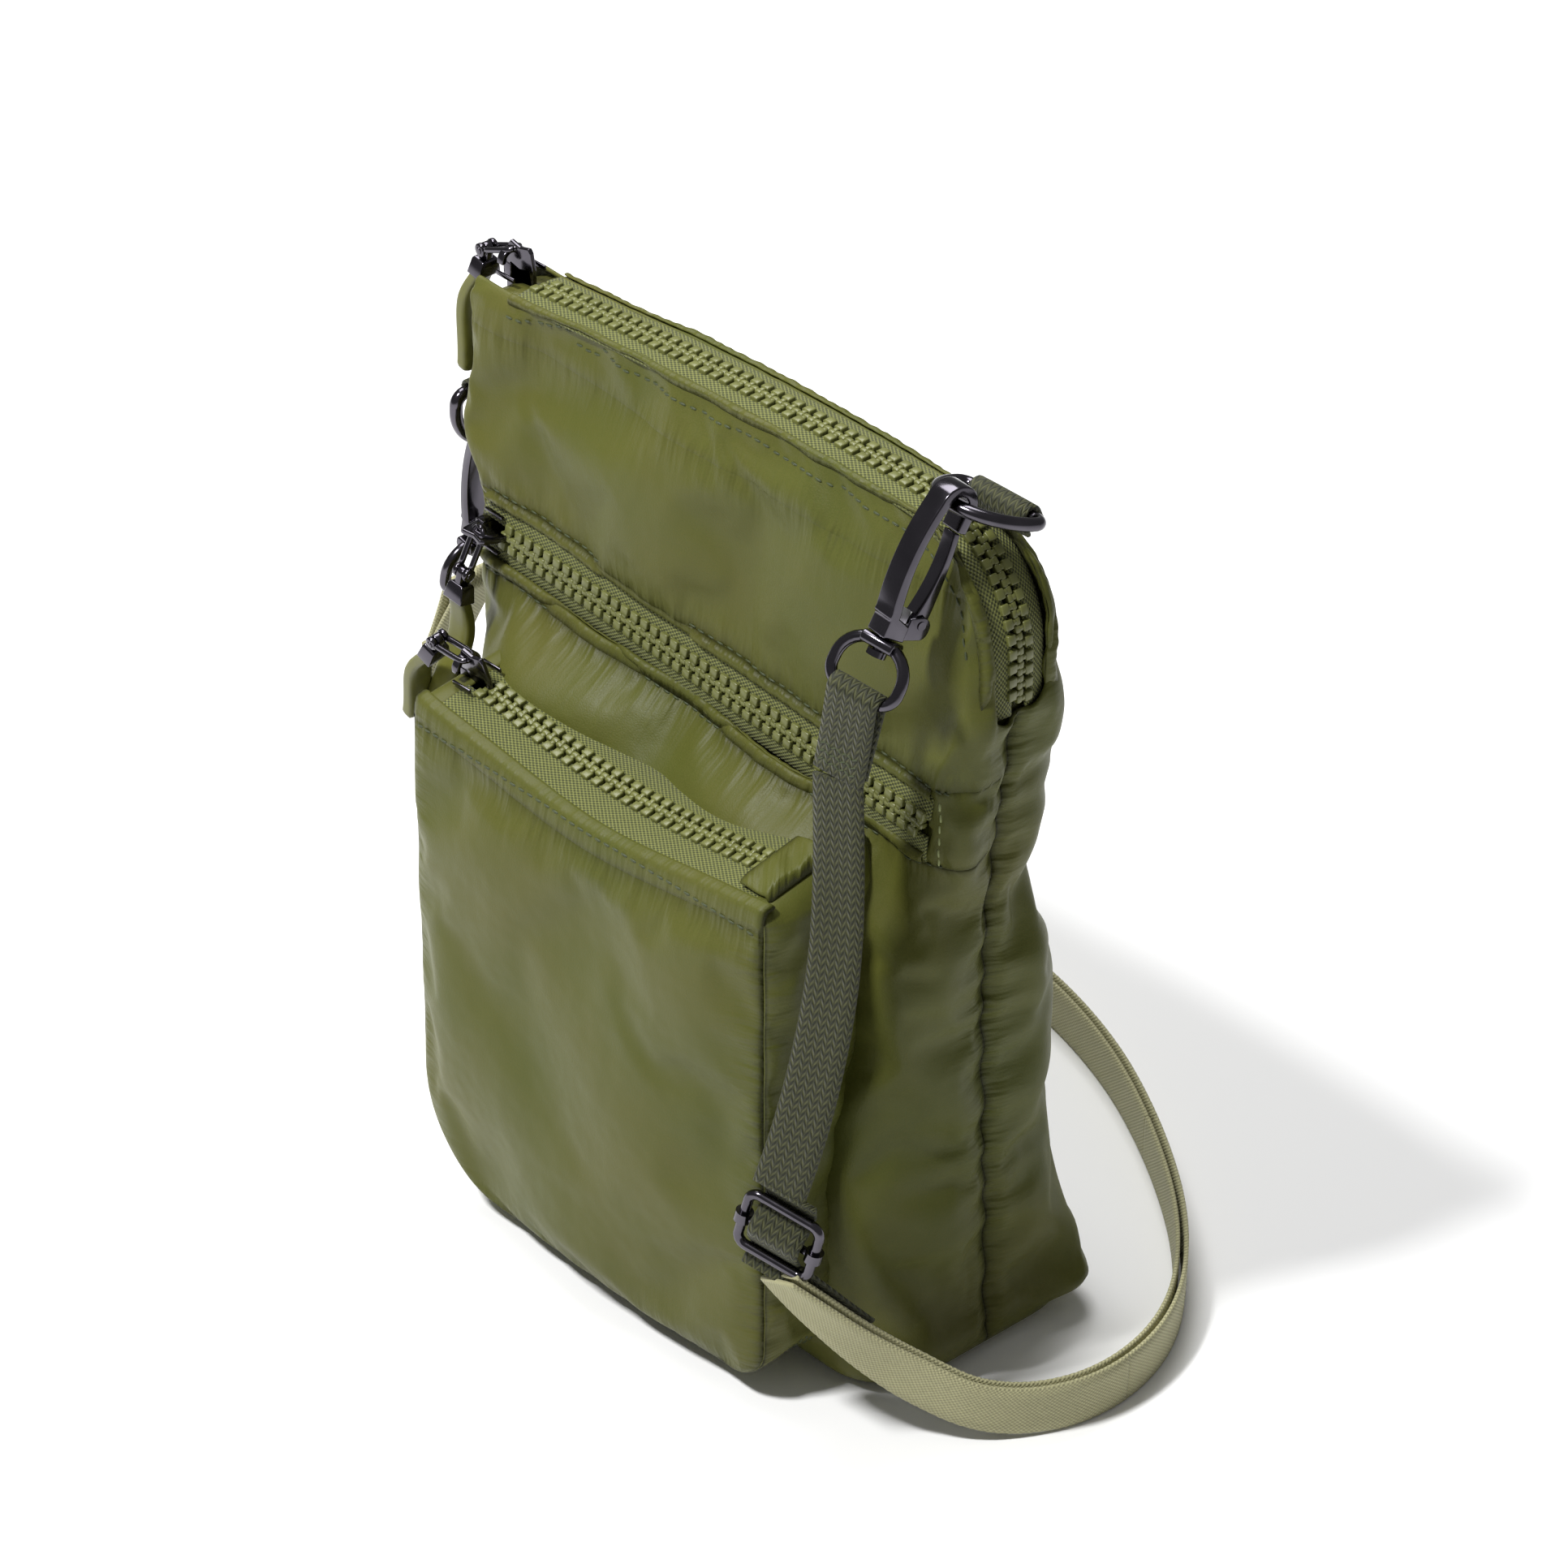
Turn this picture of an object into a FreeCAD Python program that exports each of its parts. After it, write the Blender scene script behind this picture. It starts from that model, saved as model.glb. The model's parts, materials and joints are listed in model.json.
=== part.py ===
"""Crossbody purse: a padded nylon pouch with three zips, a patch pocket and a webbing strap.

Millimetres, +Z up.  The origin is the middle of the flat base, the front faces -Y and the
side seams lie in the plane Y = 0.
"""
import FreeCAD, Part
import math
import os

from FreeCAD import Matrix, Placement, Rotation, Vector

SIZES = {
    # bag shell
    "bag_tall": 250.0, "base_half_width": 92.0, "top_half_width": 98.0,
    "base_half_depth": 40.0, "ridge_half_depth": 11.5, "ridge_right_corner": 32.0,
    "ridge_left_corner": 8.0, "ridge_round": 3.0, "base_corner": 12.0,
    "shell_thick": 2.4, "cloth_thick": 0.6, "panel_gap": 0.2, "lining_gap": 1.0,
    "lining_front_gap": 10.2,
    # zips
    "tooth_pitch": 3.9, "tooth_long": 1.5, "tooth_tall": 2.8, "chain_half": 4.0, "tooth_reach": 0.9,
    "tape_thick": 0.8, "tape_wide": 4.6, "zip_slot_half": 9.0, "mid_slot_left": -92.0,
    "mid_bag_left": -90.4, "zip_inset": 1.2,
    "top_zip_left": -84.0, "top_zip_drop": 206.0, "top_slot_left_drop": 238.0, "lining_mouth": 236.0,
    "mid_bag_deep": 6.4, "mid_bag_drop": 105.0, "mid_zip_level": 178.0, "mid_zip_tilt": -4.0,
    "mid_bag_mouth": 16.0, "mid_zip_left": -75.0, "mid_zip_right": 88.0,
    "pocket_zip_left": -53.0, "pocket_zip_right": 56.0, "pocket_zip_tilt": 12.0,
    # patch pocket
    "pocket_left": -69.0, "pocket_right": 69.0, "pocket_front": -62.0, "pocket_foot": 5.0,
    "pocket_top": 152.0, "pocket_left_corner": 34.0, "pocket_right_corner": 14.0,
    "pocket_tape_wide": 14.0, "pocket_back_tape_wide": 17.6,
    # sliders and pulls
    "slider_long": 13.0, "slider_wide": 11.0, "slider_gap": 2.2, "slider_plate": 1.4,
    "slider_post": 1.8,
    "bridge_wide": 7.2, "bridge_bar": 1.4, "bridge_rise": 3.1, "bridge_shift": 3.8,
    "link_thick": 2.4, "link_eye": 1.3, "link_outer": 2.5, "link_long": 11.0, "rivet_radius": 0.8,
    "rivet_clearance": 0.06, "cheek_thick": 1.2, "ferrule_long": 8.0, "ferrule_deep": 5.0,
    "pull_long": 32.0, "pull_wide": 8.0, "pull_thick": 4.0, "pull_bow": 3.0,
    # D-rings and their webbing tabs
    "ring_wire": 1.8, "ring_half": 14.0, "ring_leg": 4.0, "ring_corner": 3.0,
    "tab_wide": 20.0, "right_tab_leg": 4.4, "left_tab_leg": 10.2, "webbing_thick": 1.3,
    "webbing_gap": 0.15,
    # snap hooks
    "hook_thick": 6.6, "hook_inner": 3.0, "hook_bar": 2.9, "gate_thick": 4.4,
    "gate_pin_radius": 1.2, "gate_slot_wall": 1.7,
    "gate_spring_thick": 0.4, "gate_spring_wide": 3.0, "gate_spring_long": 7.0,
    "pin_clearance": 0.05, "hook_tall": 36.0, "stem_radius": 1.4, "eye_wire": 1.6, "eye_half_wide": 9.8,
    "eye_tall": 14.0, "eye_block": 3.2, "eye_gap": 0.35, "stem_head_radius": 2.6, "stem_head": 1.6,
    # strap and buckle
    "strap_wide": 15.0, "sewn_end": 25.0, "strap_radius": 2.4, "strap_floor": 7.8,
    "buckle_half_wide": 10.6, "buckle_half_tall": 8.6, "buckle_wire": 1.4, "buckle_corner": 3.0,
    "buckle_collar": 2.4, "buckle_collar_long": 3.0, "buckle_bar": 1.1, "buckle_collar_clearance": 0.05,
}

doc = FreeCAD.newDocument("crossbody_purse")
sheet = doc.addObject("Spreadsheet::Sheet", "sizes")
for row, (alias, value) in enumerate(SIZES.items(), start=1):
    sheet.set(f"A{row}", alias)
    sheet.set(f"B{row}", str(value))
    sheet.setAlias(f"B{row}", alias)
doc.recompute()

nodes = []
X_AXIS, Y_AXIS, Z_AXIS = Vector(1, 0, 0), Vector(0, 1, 0), Vector(0, 0, 1)


def size(alias):
    """A driving dimension, read from the sheet."""
    return float(sheet.get(alias))


# ---------------------------------------------------------------- helpers

def node(obj, label, placement=None):
    """Names a finished sub-part and, where given, puts it in its place."""
    if placement is not None:
        obj.Placement = placement
    obj.Label = label
    nodes.append(obj)
    return obj


def rounded(points, radii, closed=True):
    """Straight edges joined by tangent arcs; a radius of 0 leaves a sharp corner."""
    count = len(points)
    starts, ends, arcs = {}, {}, {}
    for i, corner in enumerate(points):
        radius = radii[i]
        at_end = not closed and i in (0, count - 1)
        if radius <= 0 or at_end:
            starts[i] = ends[i] = corner
            continue
        back = (points[i - 1] - corner).normalize()
        ahead = (points[(i + 1) % count] - corner).normalize()
        half = back.getAngle(ahead) / 2
        reach = radius / math.tan(half)
        inward = (back + ahead).normalize()
        middle = corner + inward * (radius / math.sin(half) - radius)
        ends[i] = corner + back * reach
        starts[i] = corner + ahead * reach
        arcs[i] = Part.Arc(ends[i], middle, starts[i])
    edges = []
    for i in range(count if closed else count - 1):
        if i in arcs:
            edges.append(arcs[i])
        following = (i + 1) % count
        if (ends[following] - starts[i]).Length > 1e-6:
            edges.append(Part.LineSegment(starts[i], ends[following]))
    return edges


def flat(*pairs):
    """Sketch points from plain pairs."""
    return [Vector(a, b, 0) for a, b in pairs]


def padded(name, plane, outlines, length):
    """A body padded half each way from one of its origin planes; inner outlines are holes."""
    body = doc.addObject("PartDesign::Body", name)
    sketch = body.newObject("Sketcher::SketchObject", name + "_outline")
    support = [part for part in body.Origin.OriginFeatures if part.Role == plane][0]
    sketch.AttachmentSupport = [(support, "")]
    sketch.MapMode = "FlatFace"
    for outline in outlines:
        for edge in outline:
            sketch.addGeometry(edge, False)
    pad = body.newObject("PartDesign::Pad", name + "_pad")
    pad.Profile = sketch
    pad.Midplane = True
    pad.setExpression("Length", length)
    body.Tip = pad
    return body


def circle(x, y, radius):
    """A round hole or boss in a sketch."""
    return [Part.Circle(Vector(x, y, 0), Z_AXIS, radius)]


def combine(kind, name, base, tool):
    """A boolean of two objects."""
    obj = doc.addObject(kind, name)
    obj.Base = base
    obj.Tool = tool
    return obj


def cut(name, base, *tools):
    """Takes each tool from the base in turn."""
    for number, tool in enumerate(tools, start=1):
        base = combine("Part::Cut", f"{name}_cut_{number}", base, tool)
    return base


def fused(name, shapes):
    """Several objects as one solid."""
    obj = doc.addObject("Part::MultiFuse", name)
    obj.Shapes = shapes
    return obj


def made(name, shape):
    """A shape that no single parametric feature makes."""
    obj = doc.addObject("Part::Feature", name)
    obj.Shape = shape
    return obj


def slab(name, low, high):
    """A trimming block between two corners."""
    block = Part.makeBox(high[0] - low[0], high[1] - low[1], high[2] - low[2], Vector(*low))
    return made(name, block)


def swept(edges, radius):
    """A round bar along a wire of lines and arcs."""
    wire = Part.Wire([edge.toShape() for edge in edges])
    first = wire.OrderedEdges[0]
    start = first.valueAt(first.FirstParameter)
    along = first.tangentAt(first.FirstParameter)
    profile = Part.Wire([Part.Circle(start, along, radius).toShape()])
    return wire.makePipeShell([profile], True, False)


def frame(origin, x_axis, z_axis):
    """A placement from its origin, its X axis and the side its Z axis leans to."""
    x_axis = Vector(x_axis).normalize()
    y_axis = Vector(z_axis).cross(x_axis).normalize()
    z_axis = x_axis.cross(y_axis)
    return Placement(Matrix(x_axis.x, y_axis.x, z_axis.x, origin.x,
                            x_axis.y, y_axis.y, z_axis.y, origin.y,
                            x_axis.z, y_axis.z, z_axis.z, origin.z,
                            0, 0, 0, 1))


# ---------------------------------------------------------------- bag shell

def face_slope():
    """Lean of the front face, in degrees from upright."""
    return math.degrees(math.atan2(size("base_half_depth") - size("ridge_half_depth"),
                                   size("bag_tall")))


def face_y(level):
    """Y of the front face at a level."""
    share = level / size("bag_tall")
    return -size("base_half_depth") + share * (size("base_half_depth") - size("ridge_half_depth"))


def bag_solid(name, inset, front_inset=None):
    """The bag's wedge, shrunk by an inset; the front face can have an inset of its own."""
    front_inset = inset if front_inset is None else front_inset
    low, high = inset, size("bag_tall") - inset
    base, top = size("base_half_width") - inset, size("top_half_width") - inset
    front_view = rounded(flat((-base, low), (base, low), (top, high), (-top, high)),
                         [size("base_corner"), size("base_corner"), size("ridge_right_corner"),
                          size("ridge_left_corner")])
    front_low, front_high = size("base_half_depth") - front_inset, size("ridge_half_depth") - front_inset
    back_low, back_high = size("base_half_depth") - inset, size("ridge_half_depth") - inset
    front_high = max(front_high, -size("ridge_half_depth") / 2)
    ridge_round = size("ridge_round") if inset <= 0 else 0.0
    side_view = rounded(flat((-front_low, low), (back_low, low), (back_high, high),
                             (-front_high, high)),
                        [0, 0, ridge_round, ridge_round])
    front_pad = padded(name + "_front_view", "XZ_Plane", [front_view], "4 * sizes.base_half_depth")
    side_pad = padded(name + "_side_view", "YZ_Plane", [side_view], "3 * sizes.top_half_width")
    return combine("Part::Common", name, front_pad, side_pad)


def make_shell():
    """Padded back and front panels, with the zip openings cut out."""
    shell = combine("Part::Cut", "shell", bag_solid("outside", 0.0),
                    bag_solid("inside", size("shell_thick")))
    gap, half, wide, tall = size("panel_gap") / 2, size("zip_slot_half"), size("top_half_width"), size("bag_tall")
    top_slot = slab("top_slot", (-wide - 5, -half, size("top_slot_left_drop")), (0, half, tall + 5))
    right_slot = slab("top_slot_right", (0, -half, size("top_zip_drop")), (wide + 5, half, tall + 5))
    far, deep = wide + 10, size("base_half_depth") + 10
    mid_slot = slab("mid_slot", (size("mid_slot_left"), -half - 1, -half),
                    (size("mid_zip_right"), half + 1, half))
    mid_slot.Placement = mid_zip_frame(0.0)
    front = [("front_panel_lower", -tall, -half), ("mid_zip_facings", -half, half),
             ("front_panel_upper", half, tall)]
    back_block = slab("back_block", (-far, -gap, -1), (far, deep, tall + 1))
    back = combine("Part::Common", "back_half", shell, back_block)
    node(cut("back_panel", back, top_slot, right_slot), "back_panel")
    front_block = slab("front_block", (-far, -deep, -1), (far, -3 * gap, tall + 1))
    front_half = combine("Part::Common", "front_half", shell, front_block)
    for label, bottom, top in front:
        block = slab(label + "_block", (-2 * far, bottom + gap, -tall), (2 * far, top - gap, deep))
        block.Placement = mid_zip_frame(0.0)
        part_shell = combine("Part::Common", label + "_blank", front_half, block)
        node(cut(label, part_shell, top_slot, right_slot, mid_slot), label)


def make_linings():
    """The main lining and the flat bag behind the middle zip."""
    inset = size("shell_thick") + size("lining_gap")
    outer = bag_solid("lining_outside", inset, size("lining_front_gap"))
    inner = bag_solid("lining_inside", inset + size("cloth_thick"),
                      size("lining_front_gap") + size("cloth_thick"))
    open_top = slab("lining_mouth", (-200, -60, size("lining_mouth")), (200, 60, 260))
    node(cut("main_lining", outer, inner, open_top), "main_lining")

    cloth, gap = size("cloth_thick"), size("shell_thick") + 0.4
    left = size("mid_bag_left")
    length = size("mid_zip_right") - left
    deep, bag_low, bag_high = size("mid_bag_deep"), -size("mid_bag_drop"), size("mid_bag_mouth")
    sleeve = Part.makeBox(length, bag_high - bag_low, deep, Vector(left, bag_low, -gap - deep))
    hollow = Part.makeBox(length - 2 * cloth, bag_high - bag_low - 2 * cloth, deep - 2 * cloth,
                          Vector(left + cloth, bag_low + cloth, -gap - deep + cloth))
    mouth_cut = Part.makeBox(length - 2 * cloth, 2 * bag_high - cloth, deep,
                             Vector(left + cloth, -bag_high, -gap - deep + cloth))
    node(made("mid_zip_pocket_bag", sleeve.cut(hollow).cut(mouth_cut)), "mid_zip_pocket_bag",
         mid_zip_frame(0.0, 0.0))


# ---------------------------------------------------------------- zips

def top_zip_frame():
    """Along the ridge, facing up."""
    return Placement(Vector(0, 0, size("bag_tall") - size("zip_inset")), Rotation())


def mid_zip_frame(inset, tilt=None):
    """Across the front face, facing out of it and running a little downhill to the right."""
    tilt = size("mid_zip_tilt") if tilt is None else tilt
    turn = Rotation(X_AXIS, 90 - face_slope()).multiply(Rotation(Z_AXIS, tilt))
    level = size("mid_zip_level")
    return Placement(Vector(0, face_y(level), level) - turn.multVec(Z_AXIS) * inset, turn)


def pocket_zip_frame():
    """Along the pocket's top, tilted up towards the bag."""
    turn = Rotation(X_AXIS, size("pocket_zip_tilt"))
    start = Vector(0, size("pocket_front") + 1.0, size("pocket_top") + 1.4)
    return Placement(start + turn.multVec(Y_AXIS) * (size("pocket_tape_wide") + size("chain_half")),
                     turn)


def tooth_block(side):
    """One tooth as a block: it reaches past the middle, between its two opposite teeth."""
    long, tall = size("tooth_long"), size("tooth_tall")
    across = size("chain_half") - 0.1 + size("tooth_reach")
    low = -size("tooth_reach") if side > 0 else size("tooth_reach") - across
    return Part.makeBox(long, across, tall, Vector(-long / 2, low, -tall / 2))


def make_straight_zip(name, sides, left, right, placement, tape_widths):
    """Two tapes and two rows of teeth; the first side is the lower or front one."""
    chain, thick, pitch = size("chain_half"), size("tape_thick"), size("tooth_pitch")
    for side, word, wide in zip((-1, 1), sides, tape_widths):
        low = chain if side > 0 else -chain - wide
        tape = Part.makeBox(right - left + 4.0, wide, thick, Vector(left - 2.0, low, -thick / 2))
        node(made(f"{name}_tape_{word}", tape), f"{name}_tape_{word}", placement)
        count = int((right - left) / pitch)
        row = []
        for number in range(count):
            tooth = tooth_block(side)
            tooth.translate(Vector(left + (number + 0.75 + 0.25 * side) * pitch, 0, 0))
            row.append(tooth)
        node(made(f"{name}_teeth_{word}", Part.makeCompound(row)), f"{name}_teeth_{word}", placement)


def ridge_run():
    """The top zip's line in its own frame: straight, round the right corner, then down the side."""
    inset = size("zip_inset")
    side = size("top_half_width") - inset - 0.9
    radius = size("ridge_right_corner") - inset
    return size("top_zip_left"), side - radius, radius, size("bag_tall") - inset - radius - size("top_zip_drop")


def make_top_zip():
    """The ridge zip, which turns the right corner."""
    left, turn, radius, drop = ridge_run()
    thick, chain, wide, pitch = size("tape_thick"), size("chain_half"), size("tape_wide"), size("tooth_pitch")
    top, under = thick / 2, -thick / 2
    centre = Vector(turn, -radius, 0)

    def corner(offset):
        reach = radius + offset
        slant = reach / math.sqrt(2)
        return [centre + Vector(0, reach, 0), centre + Vector(slant, slant, 0),
                centre + Vector(reach, 0, 0)]

    out, inn = corner(top), corner(under)
    low_out, low_inn = out[2] - Vector(0, drop, 0), inn[2] - Vector(0, drop, 0)
    band = [Part.LineSegment(Vector(left, top, 0), out[0]), Part.Arc(*out),
            Part.LineSegment(out[2], low_out),
            Part.LineSegment(low_out, low_inn), Part.LineSegment(low_inn, inn[2]),
            Part.Arc(inn[2], inn[1], inn[0]), Part.LineSegment(inn[0], Vector(left, under, 0)),
            Part.LineSegment(Vector(left, under, 0), Vector(left, top, 0))]
    total = turn - left + radius * math.pi / 2 + drop
    for side, word in ((-1, "front"), (1, "back")):
        tape = padded(f"top_zip_tape_{word}", "XZ_Plane", [band], "sizes.tape_wide")
        middle = side * (chain + wide / 2)
        node(tape, f"top_zip_tape_{word}",
             Placement(Vector(0, middle, size("bag_tall") - size("zip_inset")), Rotation()))
        row = []
        for number in range(int((total - size("tooth_long")) / pitch)):
            run = (number + 0.75 + 0.25 * side) * pitch
            tooth = tooth_block(side)
            if run < turn - left:
                place = Placement(Vector(left + run, 0, 0), Rotation())
            elif run < turn - left + radius * math.pi / 2:
                angle = (run - (turn - left)) / radius
                spot = Vector(turn + radius * math.sin(angle), 0, radius * (math.cos(angle) - 1))
                place = Placement(spot, Rotation(Y_AXIS, math.degrees(angle)))
            else:
                spare = run - (turn - left) - radius * math.pi / 2
                place = Placement(Vector(turn + radius, 0, -radius - spare), Rotation(Y_AXIS, 90))
            tooth.Placement = place.multiply(tooth.Placement)
            row.append(tooth)
        node(made(f"top_zip_teeth_{word}", Part.makeCompound(row)), f"top_zip_teeth_{word}",
             top_zip_frame())


# ---------------------------------------------------------------- patch pocket

def pocket_blank(name, inset):
    """The pocket as a block with rounded lower corners, shrunk by an inset."""
    left, right = size("pocket_left") + inset, size("pocket_right") - inset
    low, high = size("pocket_foot") + inset, size("pocket_top")
    outline = rounded(flat((left, low), (right, low), (right, high), (left, high)),
                      [size("pocket_left_corner") - inset, size("pocket_right_corner") - inset, 0, 0])
    body = padded(name, "XZ_Plane", [outline], "-2 * sizes.pocket_front - 2 * " + str(inset))
    return body


def make_pocket():
    """Front panel, gusset, lining and the fabric tab at the zip's right end."""
    thick, cloth, gap = size("shell_thick"), size("cloth_thick"), size("panel_gap")
    keep_off = bag_solid("pocket_back_limit", -gap)
    lining_off = bag_solid("pocket_lining_limit", -gap - 0.6)
    shell = cut("pocket_shell", pocket_blank("pocket_outside", 0.0),
                pocket_blank("pocket_inside", thick), keep_off)
    front_block = slab("pocket_front_block", (-100, size("pocket_front") - 1, 0),
                       (100, size("pocket_front") + thick - gap / 2, size("pocket_top")))
    node(combine("Part::Common", "pocket_panel", shell, front_block), "pocket_panel")
    gusset_block = slab("pocket_gusset_block", (-100, size("pocket_front") + thick + gap / 2, 0),
                        (100, 0, size("pocket_top")))
    node(combine("Part::Common", "pocket_gusset", shell, gusset_block), "pocket_gusset")

    outer = pocket_blank("pocket_lining_outside", thick + 0.4)
    inner = pocket_blank("pocket_lining_inside", thick + 0.4 + cloth)
    mouth = slab("pocket_lining_mouth", (-100, -100, size("pocket_top") - 6), (100, 0, 200))
    front_only = slab("pocket_lining_back", (-100, 0, 0), (100, 100, 200))
    node(cut("pocket_lining", outer, inner, lining_off, mouth, front_only), "pocket_lining")

    left, right = size("pocket_zip_left"), size("pocket_zip_right")
    wide, back_wide = size("pocket_tape_wide"), size("pocket_back_tape_wide")
    make_straight_zip("pocket_zip", ("front", "back"), left, right, pocket_zip_frame(),
                      (wide, back_wide))
    start, front_reach, back_reach = right + 2.2, wide + size("chain_half"), back_wide + size("chain_half")
    tab = Part.makeBox(size("pocket_right") - start, front_reach + back_reach, 1.6,
                       Vector(start, -front_reach, -0.8))
    node(made("pocket_zip_end_tab", tab), "pocket_zip_end_tab", pocket_zip_frame())


# ---------------------------------------------------------------- sliders and pulls

def make_slider(name, placement, pin_along, shift):
    """Two plates on a post, with a staple-shaped bridge; its bar runs across or along the zip."""
    long, wide, gap, plate = size("slider_long"), size("slider_wide"), size("slider_gap"), size("slider_plate")
    blocks = [
        Part.makeBox(long, wide, plate, Vector(-long / 2, -wide / 2, gap)),
        Part.makeBox(long, wide, plate, Vector(-long / 2, -wide / 2, -gap - plate)),
        Part.makeBox(long / 4, size("slider_post"), 2 * gap,
                     Vector(-long / 2, -size("slider_post") / 2, -gap)),
    ]
    bar, half, rise = size("bridge_bar"), size("bridge_wide") / 2, size("bridge_rise")
    leg = rise + bar / 2
    base = gap + plate
    staple = [Part.makeBox(bar, bar, leg,
                           Vector(-bar / 2, side * (half - bar / 2) - bar / 2, base)) for side in (-1,
                                                                                                   1)]
    staple.append(Part.makeBox(bar, 2 * half, bar, Vector(-bar / 2, -half, base + rise - bar / 2)))
    for piece in staple:
        if pin_along:
            piece.rotate(Vector(0, 0, 0), Z_AXIS, 90)
        piece.translate(Vector(-shift, 0, 0))
        blocks.append(piece)
    body = blocks[0].multiFuse(blocks[1:]).removeSplitter()
    node(made(f"{name}_slider", body), f"{name}_slider", placement)


def make_pull(name, pin, pin_axis, link_way, tab_way):
    """A link round the bridge bar, then a ferrule riveted to it with a bowed rubber tab."""
    eye, outer, long, rivet = size("link_eye"), size("link_outer"), size("link_long"), size("rivet_radius")
    shank = rounded(flat((-1.5, -outer + 0.4), (-1.5, -long), (1.5, -long), (1.5, -outer + 0.4)),
                    [0] * 4)
    link_ring = padded(f"{name}_link_ring", "YZ_Plane", [circle(0, 0, outer), circle(0, 0, eye)],
                       "sizes.link_thick")
    link_shank = padded(f"{name}_link_shank", "YZ_Plane", [shank], "sizes.link_thick")
    bore = rivet + size("rivet_clearance")
    link_end = padded(f"{name}_link_end", "YZ_Plane", [circle(0, -long, outer - 0.4)],
                      "sizes.link_thick")
    hole = padded(f"{name}_link_bore", "YZ_Plane", [circle(0, -long, bore)], "2 * sizes.link_thick")
    eye_hole = padded(f"{name}_link_eye", "YZ_Plane", [circle(0, 0, eye)], "2 * sizes.link_thick")
    link = cut(f"{name}_pull_link", fused(f"{name}_link_blank", [link_ring, link_shank, link_end]),
               hole, eye_hole)
    link_place = frame(pin, pin_axis, -Vector(link_way).normalize())
    node(link, f"{name}_pull_link", link_place)

    rivet_at = link_place.multVec(Vector(0, 0, -long))
    cheek, deep, thick = size("cheek_thick"), size("ferrule_deep"), size("link_thick")
    inside = thick / 2 + 0.15
    solids = []
    for side in (-1, 1):
        low = inside if side > 0 else -inside - cheek
        solids.append(Part.makeBox(cheek, deep, 6.5, Vector(low, -deep / 2, -4.0)))
    solids.append(Part.makeBox(2 * (inside + cheek), deep, size("ferrule_long") - 4.0,
                               Vector(-inside - cheek, -deep / 2, -size("ferrule_long"))))
    solids.append(Part.makeCylinder(rivet, 2 * inside + 1.0, Vector(-inside - 0.5, 0, 0), X_AXIS))
    ferrule = solids[0].multiFuse(solids[1:]).removeSplitter()
    tab_place = frame(rivet_at, pin_axis, -Vector(tab_way).normalize())
    node(made(f"{name}_pull_ferrule", ferrule), f"{name}_pull_ferrule", tab_place)

    top, bottom = -size("ferrule_long"), -size("ferrule_long") - size("pull_long")
    middle, bow, half = (top + bottom) / 2, size("pull_bow"), size("pull_thick") / 2
    outline = [Part.Arc(Vector(-half, top, 0), Vector(-half + bow, middle, 0),
                        Vector(-half, bottom, 0)),
               Part.LineSegment(Vector(-half, bottom, 0), Vector(half, bottom, 0)),
               Part.Arc(Vector(half, bottom, 0), Vector(half + bow, middle, 0), Vector(half, top, 0)),
               Part.LineSegment(Vector(half, top, 0), Vector(-half, top, 0))]
    tab = padded(f"{name}_pull_tab", "YZ_Plane", [outline], "sizes.pull_wide")
    node(tab, f"{name}_pull_tab", tab_place)


def make_sliders():
    """The three sliders, parked at the closed left ends of their zips."""
    height = size("slider_gap") + size("slider_plate") + size("bridge_rise")
    clear = size("slider_long") / 2 + 0.6
    places = {
        "top_zip": (top_zip_frame(), size("top_zip_left") - clear, False, Vector(-0.93, 0, -0.36),
                    Vector(-0.2, 0, -1)),
        "mid_zip": (mid_zip_frame(size("zip_inset")), size("mid_zip_left") - clear, True,
                    Vector(0, -0.42, -0.9), Vector(0, -0.2, -1)),
        "pocket_zip": (pocket_zip_frame(), size("pocket_zip_left") - clear, False, Vector(-1, 0, 0.0),
                       Vector(-0.45, -0.2, -0.87)),
    }
    pins = {}
    for name, (zip_frame, x, pin_along, link_way, tab_way) in places.items():
        place = zip_frame.multiply(Placement(Vector(x, 0, 0), Rotation()))
        shift = 0.0 if pin_along else size("bridge_shift")
        make_slider(name, place, pin_along, shift)
        pin = place.multVec(Vector(-shift, 0, height))
        axis = place.Rotation.multVec(X_AXIS if pin_along else Y_AXIS)
        link_way = link_way - axis * link_way.dot(axis)
        tab_way = tab_way - axis * tab_way.dot(axis)
        make_pull(name, pin, axis, link_way, tab_way)
        link = link_way.normalize()
        pins[name] = (pin, axis, pin + link * size("link_long"))
    return pins


# ---------------------------------------------------------------- D-rings and hooks

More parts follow.
